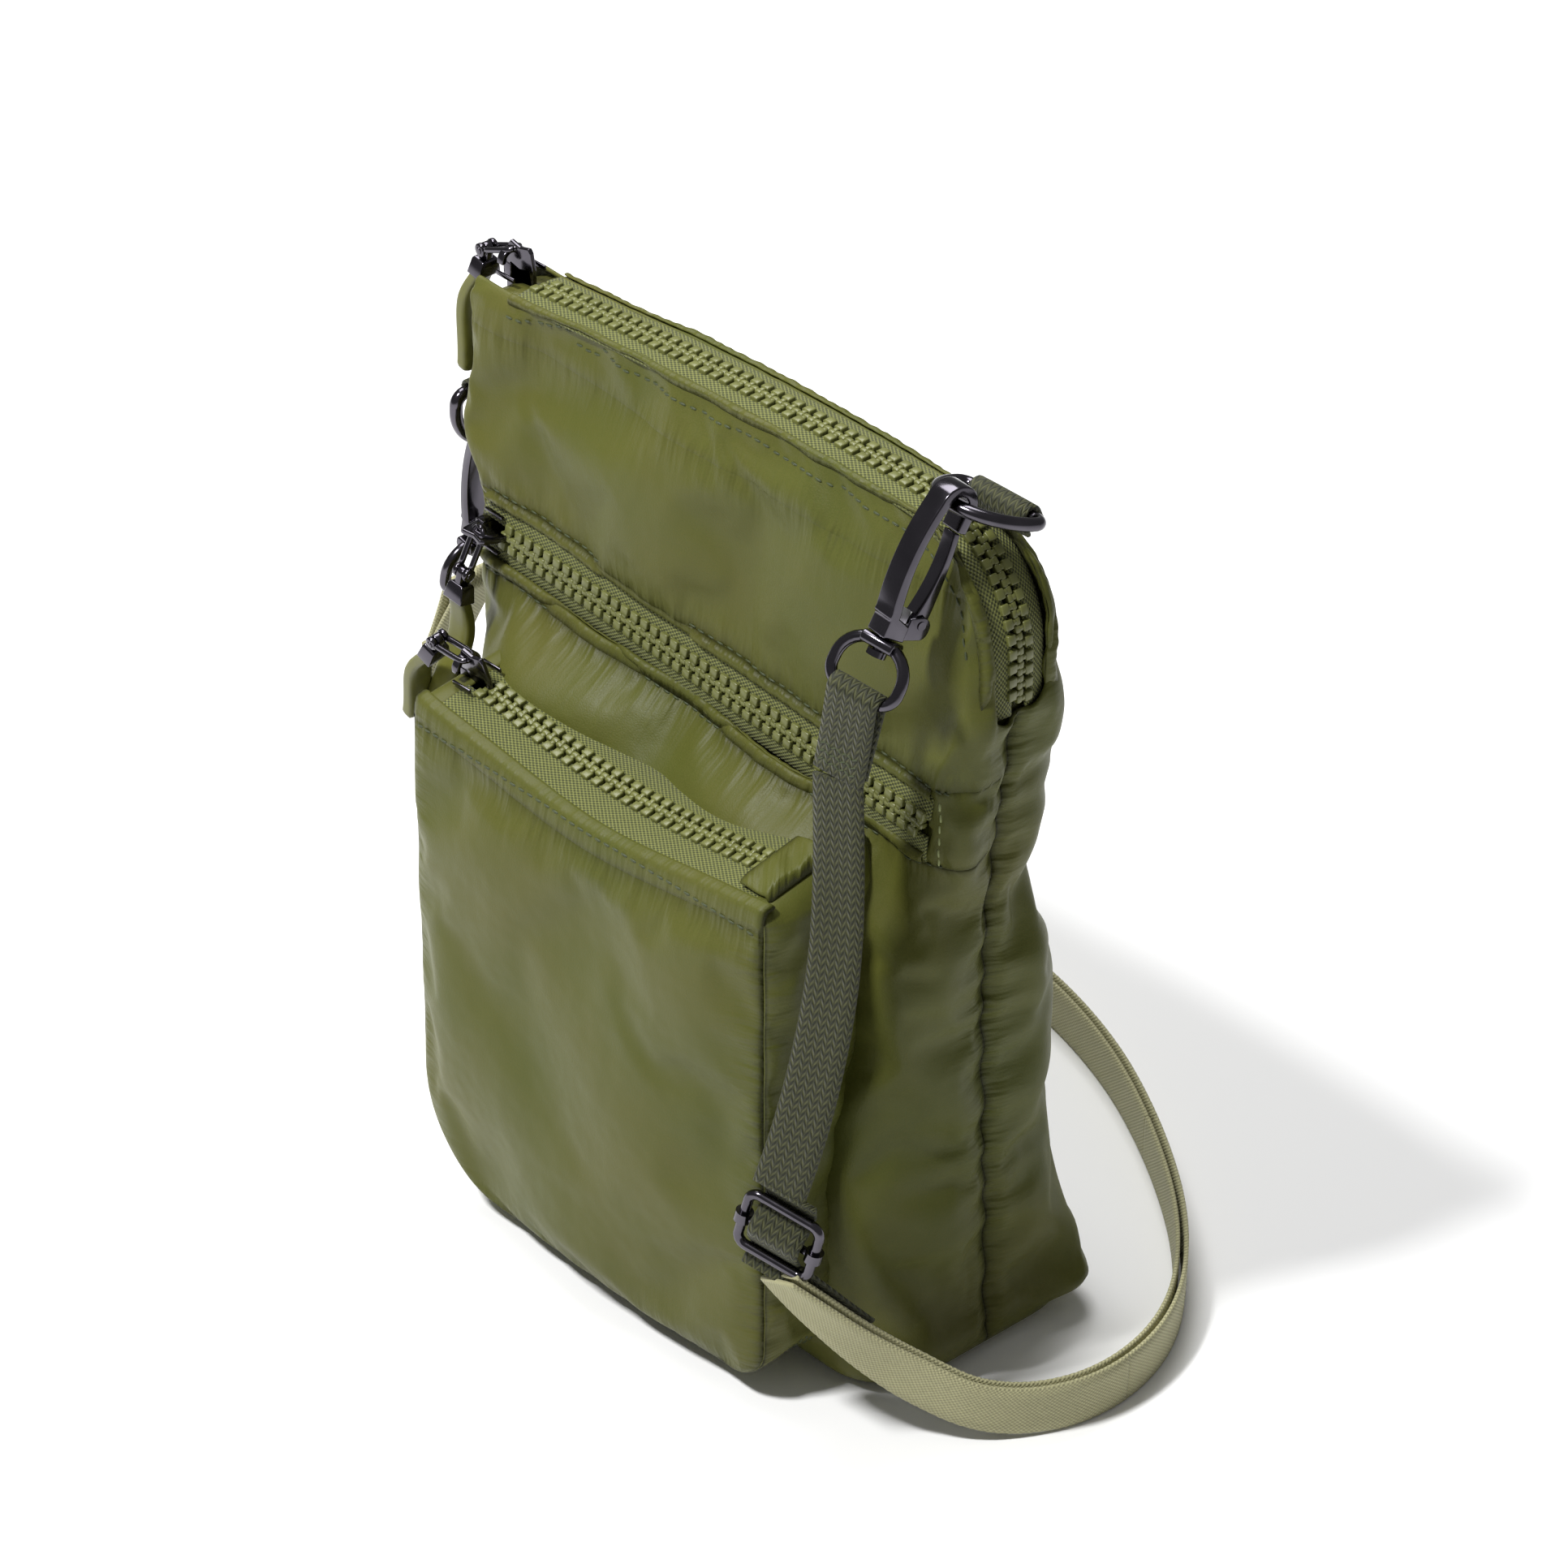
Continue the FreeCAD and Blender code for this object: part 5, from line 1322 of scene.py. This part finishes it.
def spine_outline():
    """The cast hook from the side: a round crown, a flat spine, and a foot that holds the swivel."""
    low = -HOOK_TALL
    spine_out, spine_in = (-HOOK_OUTER - SPINE_BOW, SPINE_MIDDLE), (-HOOK_INNER - SPINE_BOW, SPINE_MIDDLE)
    outline = [(HOOK_INNER, NOSE_LEVEL)]
    outline += arc_through((HOOK_INNER, 0), (0, HOOK_INNER), (-HOOK_INNER, 0), 12)
    outline += arc_through((-HOOK_INNER, 0), spine_in, (-2.4, low + 7.0), 14)[1:]
    outline += [(-2.2, low + 5.6), (2.2, low + 4.2), (2.2, low), (-5.0, low), (-5.0, low + 4.6),
                (-5.7, low + 5.2)]
    outline += arc_through((-5.6, low + 6.4), spine_out, (-HOOK_OUTER, 0), 16)
    outline += arc_through((-HOOK_OUTER, 0), (0, HOOK_OUTER), (HOOK_OUTER, 0), 18)[1:]
    return outline + [(HOOK_OUTER, NOSE_LEVEL)]


def make_hook(side, materials):
    """The cast hook: its spine and crown, and two ears for the gate's pin."""
    place, gunmetal = hook_frame(side), materials["gunmetal"]
    low = -HOOK_TALL
    pieces = [extruded(f"{side}_hook_spine", spine_outline(), HOOK_THICK, place, gunmetal, 0.55, 3)]
    corners = [(1.4, low + 0.6), (PIN_X + EAR, low + 2.0), (PIN_X + EAR, PIN_Y + EAR), (1.4, PIN_Y + 1.0)]
    ears = rounded_outline(corners, [0.4, 2.4, 2.8, 0.4], 6)
    for way in (-1, 1):
        shift = Matrix.Translation(Vector((way * (HOOK_THICK - EAR_THICK) / 2, 0, 0)))
        pieces.append(extruded(f"{side}_hook_ear", ears, EAR_THICK, place @ shift, gunmetal, 0.18, 2))
    declared(joined(f"{side}_hook_cast", pieces), f"{side}_hook", "gunmetal", f"{side}_snap_hook")


def make_gate(side, materials):
    """The sprung gate, from its pin up to the hook's nose."""
    outline = [(2.7, PIN_Y - 0.6)]
    outline += arc_through((3.6, PIN_Y + 2.6), (4.7, -16.0), (HOOK_INNER + 0.3, -6.4), 12)
    outline += arc_through((HOOK_OUTER - 0.6, -6.4), (7.0, -17.0), (PIN_X + 2.4, PIN_Y + 0.4), 12)
    outline += arc_through((PIN_X + 2.4, PIN_Y + 0.4), (PIN_X + 0.6, PIN_Y - 2.4), (2.9, PIN_Y - 0.9), 8)[1:]
    gate = extruded(f"{side}_gate_cast", outline, GATE_THICK, hook_frame(side), materials["gunmetal"], 0.4, 3)
    declared(gate, f"{side}_gate", "gunmetal", f"{side}_gate")


def loop_points(half, top, low, top_radius, low_radius):
    """A rounded loop in the local XZ plane, starting at the middle of its top."""
    corners = [(0, top), (half, top), (half, low), (-half, low), (-half, top)]
    outline = rounded_outline(corners, [0, top_radius, low_radius, low_radius, top_radius], 9)
    return [(x, 0, z) for x, z in outline]


def make_eye(side, materials):
    """The swivel eye: an oval wire loop under a saddle that turns on the rivet."""
    turn = Matrix.Rotation(math.radians(EYE_TURN[side]), 4, "Z")
    place = hook_frame(side) @ Matrix.Translation(Vector((0, STEM_SHIFT, 0))) @ turn
    top = -HOOK_TALL - EYE_GAP
    middle = top - EYE_BLOCK / 2
    path = loop_points(EYE_HALF, middle, middle - EYE_TALL, 8.0, 4.5)
    loop = tube(f"{side}_eye_loop", path, EYE_WIRE, place, materials["gunmetal"], closed=True, sides=20)
    corners = [(-3.2, top), (-3.2, top - EYE_BLOCK), (3.2, top - EYE_BLOCK), (3.2, top)]
    outline = rounded_outline(corners, [1.2] * 4, 4)
    saddle = extruded(f"{side}_eye_saddle", outline, EYE_SADDLE, place, materials["gunmetal"], 0.5, 3)
    eye = joined(f"{side}_eye_cast", [loop, saddle])
    declared(eye, f"{side}_eye", "gunmetal", f"{side}_swivel_eye")
    return place @ Matrix.Translation(Vector((0, 0, middle - EYE_TALL)))


LEG_WAY = {"right": Vector((0.02, -0.06, -1)), "left": Vector((-0.45, 0, -0.89))}
LONG_LEG, SHORT_LEG, LEGS_APART = 25.5, 23.0, 1.45


def make_strap_end(side, bar, materials):
    """Webbing folded round the eye's lower bar; its short leg ends behind the long one, sewn to it."""
    place = axes_frame(bar.translation, bar.to_3x3().col[0], -LEG_WAY[side])
    near = EYE_WIRE + 0.15 + STRAP_THICK / 2
    fold = [(-near * math.cos(a), near * math.sin(a)) for a in np.linspace(0, math.pi, 14)]
    long_leg = [(-near * (1 - t) ** 1.5, -LONG_LEG * t) for t in np.linspace(1, 0.06, 14)]
    short_leg = [(near * (1 - t) ** 1.3 + LEGS_APART * t, -SHORT_LEG * t) for t in np.linspace(0.06, 1, 13)]
    line = resampled(placed([(0, y, z) for y, z in long_leg + fold + short_leg], place), 0.6)
    across = tuple(place.to_3x3().col[0])
    material = materials["webbing" if side == "right" else "webbing_pale"]
    end = ribbon(f"strap_end_{side}", line, [(0, across), (1, across)], material)
    declared(end, f"{side}_eye", "webbing", f"strap_{side}_end")
    for row, drop in enumerate((17.5, 20.0, 22.5)):
        zigzag = [(x, -2.0, -drop - 0.5 * (-1) ** k) for k, x in enumerate(np.linspace(-6.4, 6.4, 9))]
        stitches = stitch_run(f"strap_end_{side}_stitch_{row}", placed(zigzag, place), end, materials,
                              "thread_dark", 1.6, 0.3)
        declared(stitches, f"{side}_eye", "webbing")


TAB_WAY = {"right": Vector((0, 0.45, -1)), "left": Vector((1, 0, 0.12))}
TAB_LEG = {"right": 4.4, "left": 10.2}
TAB_WIDE, RING_WIRE = 20.0, 1.8


def make_ring_tab(side, materials):
    """The webbing loop that holds a ring's straight bar to the bag."""
    place = axes_frame(joint_spot(f"{side}_ring_hinge"), joint_axis(f"{side}_ring_hinge"), -TAB_WAY[side])
    near = RING_WIRE + 0.15 + STRAP_THICK / 2
    fold = [(near * math.cos(a), near * math.sin(a)) for a in np.linspace(0, math.pi, 16)]
    points = [(0, near, -TAB_LEG[side])] + [(0, y, z) for y, z in fold] + [(0, -near, -TAB_LEG[side])]
    line = resampled(placed(points, place), 0.5)
    across = tuple(place.to_3x3().col[0])
    tab = ribbon(f"ring_tab_{side}", line, [(0, across), (1, across)], materials["webbing"], TAB_WIDE)
    declared(tab, "bag", "webbing", f"{side}_ring_tab")


def make_buckle_webbing(materials):
    """The strap where it goes behind the buckle's top bar, over its centre bar and behind its lower bar."""
    top, low = Vector(HANGING_ROUTE[-1]) / MM, Vector(FLOOR_ROUTE[0]) / MM
    place = axes_frame((top + low) / 2, BUCKLE_WAY, top - low)
    reach = (top - low).length / 2
    knots = [(0, 0, reach + 1), (0, 1.2, 11.5), (0, 2.3, 8.4), (0, 0.4, 5.0), (0, -2.6, 1.6),
             (0, -2.7, -1.4), (0, -0.2, -5.0), (0, 2.3, -8.4), (0, 1.2, -11.5), (0, 0, -reach - 1)]
    line = resampled(placed(curve_through(knots, 8), place), 0.5)
    across = tuple(place.to_3x3().col[0])
    over = ribbon("strap_in_buckle", line, [(0, across), (1, across)], materials["webbing"])
    declared(over, "right_hook", "webbing")


# ---------------------------------------------------------------- sliders and pulls

SLIDER_WIDE, SLIDER_GAP, SLIDER_PLATE, BRIDGE_RISE, BRIDGE_SHIFT = 11.0, 2.2, 1.4, 3.1, 3.8
BRIDGE_OUTER, BRIDGE_INNER, BRIDGE_WIRE, BRIDGE_WIDE = 4.3, 2.9, 1.45, 2.4
LINK_LONG, LINK_WIRE, LINK_REACH = 11.0, 0.85, 2.0
FERRULE_LONG, PULL_LONG, PULL_THICK, PULL_RINGS, PULL_SIDES = 8.0, 32.0, 4.0, 33, 24
ZIP_NORMAL = {"top": Vector((0, 0, 1)), "mid": Vector((0, -math.cos(FACE_SLOPE), math.sin(FACE_SLOPE))),
              "pocket": Vector((0, -math.sin(POCKET_ZIP_TILT), math.cos(POCKET_ZIP_TILT)))}
LINK_WAY = {"top": Vector((-0.93, 0, -0.36)), "mid": Vector((0, -0.42, -0.9)), "pocket": Vector((-1, 0, 0))}
PULL_WAY = {"top": Vector((-0.2, 0, -1)), "mid": Vector((0, -0.2, -1)),
            "pocket": Vector((-0.45, -0.2, -0.87))}


def pull_frame(pin, axis, way):
    """A placement at a pin, hanging down its own -Z towards a way square to the axis."""
    return axes_frame(pin, axis, -(way - axis * way.dot(axis)))


def plate_outline():
    """A slider's plate from above, tapered at the neck's end and notched at the other."""
    half = SLIDER_WIDE / 2
    side = [(-6.5, 2.6, 0.8), (-5.0, half, 1.2), (0.5, half, 2.5), (5.4, 4.5, 0.7), (6.5, 3.6, 0.4)]
    corners = [(x, -y) for x, y, _ in side] + [(5.6, 0)] + [(x, y) for x, y, _ in reversed(side)]
    radii = [radius for _, _, radius in side]
    return rounded_outline(corners, radii + [0.6] + radii[::-1], 4)


def bridge_outline(height):
    """A slider's arched bridge from the side."""
    base, crown = SLIDER_GAP + SLIDER_PLATE - 0.3, height + 0.75
    outer = [(BRIDGE_OUTER * math.cos(a), base + (crown - base) * math.sin(a) ** 0.75)
             for a in np.linspace(0, math.pi, 19)]
    inner = [(BRIDGE_INNER * math.cos(a), base + (crown - BRIDGE_WIRE - base) * math.sin(a) ** 0.75)
             for a in np.linspace(math.pi, 0, 15)]
    return outer + inner


def make_slider(name, materials):
    """The slider's two plates, its neck and its arched bridge."""
    pin, slide = joint_spot(f"{name}_link_hinge"), joint_axis(f"{name}_zip_slide")
    gunmetal = materials["gunmetal"]
    crosswise = name == "mid"
    height = SLIDER_GAP + SLIDER_PLATE + BRIDGE_RISE
    shift = 0.0 if crosswise else BRIDGE_SHIFT
    turn = axes_frame((0, 0, 0), slide, ZIP_NORMAL[name])
    place = Matrix.Translation(pin) @ turn @ Matrix.Translation(Vector((shift, 0, -height)))
    flat_turn = Matrix(((0, 0, 1, 0), (1, 0, 0, 0), (0, 1, 0, 0), (0, 0, 0, 1)))
    pieces = []
    for way in (1, -1):
        level = Matrix.Translation(Vector((0, 0, way * (SLIDER_GAP + SLIDER_PLATE / 2))))
        pieces.append(extruded("slider_plate", plate_outline(), SLIDER_PLATE, place @ level @ flat_turn,
                               gunmetal, 0.45, 3))
    pieces.append(block("slider_neck", (-6.4, -0.9, -2.4), (-3.2, 0.9, 2.4), place, gunmetal, 0.2, 2))
    for way in (-1, 1):
        edge = way * (SLIDER_WIDE / 2 - 0.2)
        top, foot = SLIDER_GAP + 0.2, SLIDER_GAP - 1.1
        wall = [(edge - 0.45, top), (edge + 0.2, top), (edge + 0.2, foot), (edge - 0.45, foot)]
        pieces.append(extruded("slider_wall", wall, 7.0, place, gunmetal, 0.15, 2))
    arch_turn = Matrix.Rotation(math.radians(90), 4, "Z") if crosswise else Matrix.Identity(4)
    arch_place = place @ Matrix.Translation(Vector((-shift, 0, 0))) @ arch_turn
    arch = bridge_outline(height)
    pieces.append(extruded("slider_bridge", arch, BRIDGE_WIDE, arch_place, gunmetal, 0.4, 3))
    declared(joined(f"{name}_slider_cast", pieces), f"{name}_slider", "gunmetal", f"{name}_zip_slider")


def make_link(name, materials):
    """The link: a barrel round the bridge and two arms to the rivet."""
    place = pull_frame(joint_spot(f"{name}_link_hinge"), joint_axis(f"{name}_link_hinge"), LINK_WAY[name])
    gunmetal, quarter = materials["gunmetal"], Matrix.Rotation(math.radians(90), 4, "Y")
    disc, head = [(1.5, -0.75), (1.9, -0.5), (1.9, 0.5), (1.5, 0.75)], [(1.0, -1.05), (1.0, 1.05)]
    pieces = []
    for way in (-1, 1):
        reach = way * LINK_REACH
        arm = [(way * 0.9, 0, 1.9), (way * 1.75, 0, 1.0), (reach, 0, -1.0), (reach, 0, -LINK_LONG + 1.6)]
        pieces.append(tube("link_arm", curve_through(arm, 6), LINK_WIRE, place, gunmetal, sides=14))
        tip = place @ Matrix.Translation(Vector((reach, 0, -LINK_LONG))) @ quarter
        pieces.append(turned("link_tip", disc, tip, gunmetal, 24))
        pieces.append(bevelled(turned("link_rivet", head, tip, gunmetal, 20), 0.2, 2))
    crown = [(-1.0, 0, 1.95), (0, 0, 2.1), (1.0, 0, 1.95)]
    pieces.append(tube("link_crown", crown, LINK_WIRE, place, gunmetal, sides=14))
    declared(joined(f"{name}_link_cast", pieces), f"{name}_pull_link", "gunmetal", f"{name}_zip_pull_link")


def make_ferrule(name, place, gunmetal):
    """A ferrule whose tongue turns on the link's rivet."""
    tongue = rounded_outline([(-1.7, 1.6), (1.7, 1.6), (1.7, -4.2), (-1.7, -4.2)], [1.5, 1.5, 0.2, 0.2], 6)
    rows = [(2.3, 1.9, -2.9), (2.9, 2.3, -3.6), (3.9, 2.5, -FERRULE_LONG)]
    points = [(sx * w, sy * d, z) for w, d, z in rows for sx, sy in ((-1, -1), (1, -1), (1, 1), (-1, 1))]
    faces = [[0, 1, 2, 3], [8, 11, 10, 9]] + quads(3, 4, ring=True, flip=True)
    pieces = [extruded("ferrule_tongue", tongue, 2.1, place, gunmetal, 0.25, 2),
              bevelled(mesh_object("ferrule_cap", placed(points, place), faces, gunmetal), 0.35, 3)]
    declared(joined(f"{name}_ferrule_cast", pieces), f"{name}_pull", "gunmetal", f"{name}_zip_pull_ferrule")


def make_pull(name, materials):
    """A ferrule on the rivet, and the S-curved rubber tab moulded into it."""
    place = pull_frame(joint_spot(f"{name}_pull_hinge"), joint_axis(f"{name}_pull_hinge"), PULL_WAY[name])
    make_ferrule(name, place, materials["gunmetal"])
    points = []
    for r in range(PULL_RINGS):
        share = r / (PULL_RINGS - 1)
        z = -FERRULE_LONG + 0.8 - (PULL_LONG + 0.6) * share
        y = 3.0 * math.sin(math.pi * share) + 0.9 * math.sin(2 * math.pi * share)
        grow = 1.0 if share < 0.94 else math.sqrt(max(0.02, 1 - ((share - 0.94) / 0.06) ** 2 * 0.75))
        half_w = (3.3 + 0.75 * smoothstep(0.0, 0.35, share)) * grow
        half_t = (PULL_THICK / 2 - 0.25 + 0.2 * share) * grow
        for k in range(PULL_SIDES):
            a = 2 * math.pi * (k + 0.5) / PULL_SIDES
            cx, cy = math.cos(a), math.sin(a)
            square = (abs(cx) ** 5 + abs(cy) ** 5) ** -0.2
            points.append((half_w * cx * square, y + half_t * cy * square, z))
    faces = quads(PULL_RINGS, PULL_SIDES, ring=True, flip=True) + end_caps(PULL_RINGS, PULL_SIDES, flip=True)
    tab = mesh_object(f"{name}_pull_rubber", placed(points, place), faces, materials["rubber"])
    bevelled(tab, 0.3, 2, 50)
    declared(tab, f"{name}_pull", "pull_rubber", f"{name}_zip_pull_tab")


def make_hardware(materials):
    """Sliders, pulls, hooks, eyes, ring tabs and the strap's ends."""
    for name in ("top", "mid", "pocket"):
        make_slider(name, materials)
        make_link(name, materials)
        make_pull(name, materials)
    for side in ("right", "left"):
        make_hook(side, materials)
        make_gate(side, materials)
        bar = make_eye(side, materials)
        make_strap_end(side, bar, materials)
        make_ring_tab(side, materials)
    make_buckle_webbing(materials)


KEPT_NODES = {
    "gunmetal": ("right_d_ring", "left_d_ring", "right_gate_pin", "left_gate_pin", "right_swivel_rivet",
                 "left_swivel_rivet", "buckle_frame", "buckle_centre_bar"),
    "steel": ("right_gate_spring", "left_gate_spring"),
}


def finish_cad_nodes(materials):
    """Materials for the CAD nodes that stay in sight."""
    for name, nodes in KEPT_NODES.items():
        for node in nodes:
            mesh = frame["nodes"][node].data
            mesh.materials.clear()
            mesh.materials.append(materials[name])


# ---------------------------------------------------------------- scene

FLOOR_COLOR, FLOOR_HALF, WORLD_LIGHT = (0.93, 0.93, 0.93), 6000.0, 0.20


def add_light(name, spot, aim, side, power):
    """A square soft light, aimed at a point; places in metres."""
    data = bpy.data.lights.new(name, "AREA")
    data.size, data.energy = side, power
    light = bpy.data.objects.new(name, data)
    bpy.context.scene.collection.objects.link(light)
    turn = (Vector(aim) - Vector(spot)).to_track_quat("-Z", "Y").to_matrix().to_4x4()
    light.matrix_world = Matrix.Translation(Vector(spot)) @ turn


def add_room():
    """A white floor and soft light from the front left."""
    corners = [(x * FLOOR_HALF, y * FLOOR_HALF, 0) for x, y in ((-1, -1), (1, -1), (1, 1), (-1, 1))]
    mesh_object("floor", corners, [[0, 1, 2, 3]], Paint("floor_white", FLOOR_COLOR, 0.75).material)
    world = bpy.data.worlds.new("studio")
    world.use_nodes = True
    background = world.node_tree.nodes["Background"]
    background.inputs["Color"].default_value = (1, 1, 1, 1)
    background.inputs["Strength"].default_value = WORLD_LIGHT
    bpy.context.scene.world = world
    add_light("key", (-0.20, -0.88, 1.62), (0, 0, 0.12), 0.22, 35.0)
    add_light("overhead", (-0.75, 0.30, 1.80), (0, 0, 0), 1.1, 30.0)


bpy.context.scene.view_settings.view_transform = "Standard"
MATERIALS = make_materials()
add_camera()
make_bag(MATERIALS)
make_zips(MATERIALS)
make_facings(MATERIALS)
make_end_tab(MATERIALS)
make_hardware(MATERIALS)
make_strap(MATERIALS)
finish_cad_nodes(MATERIALS)
add_room()
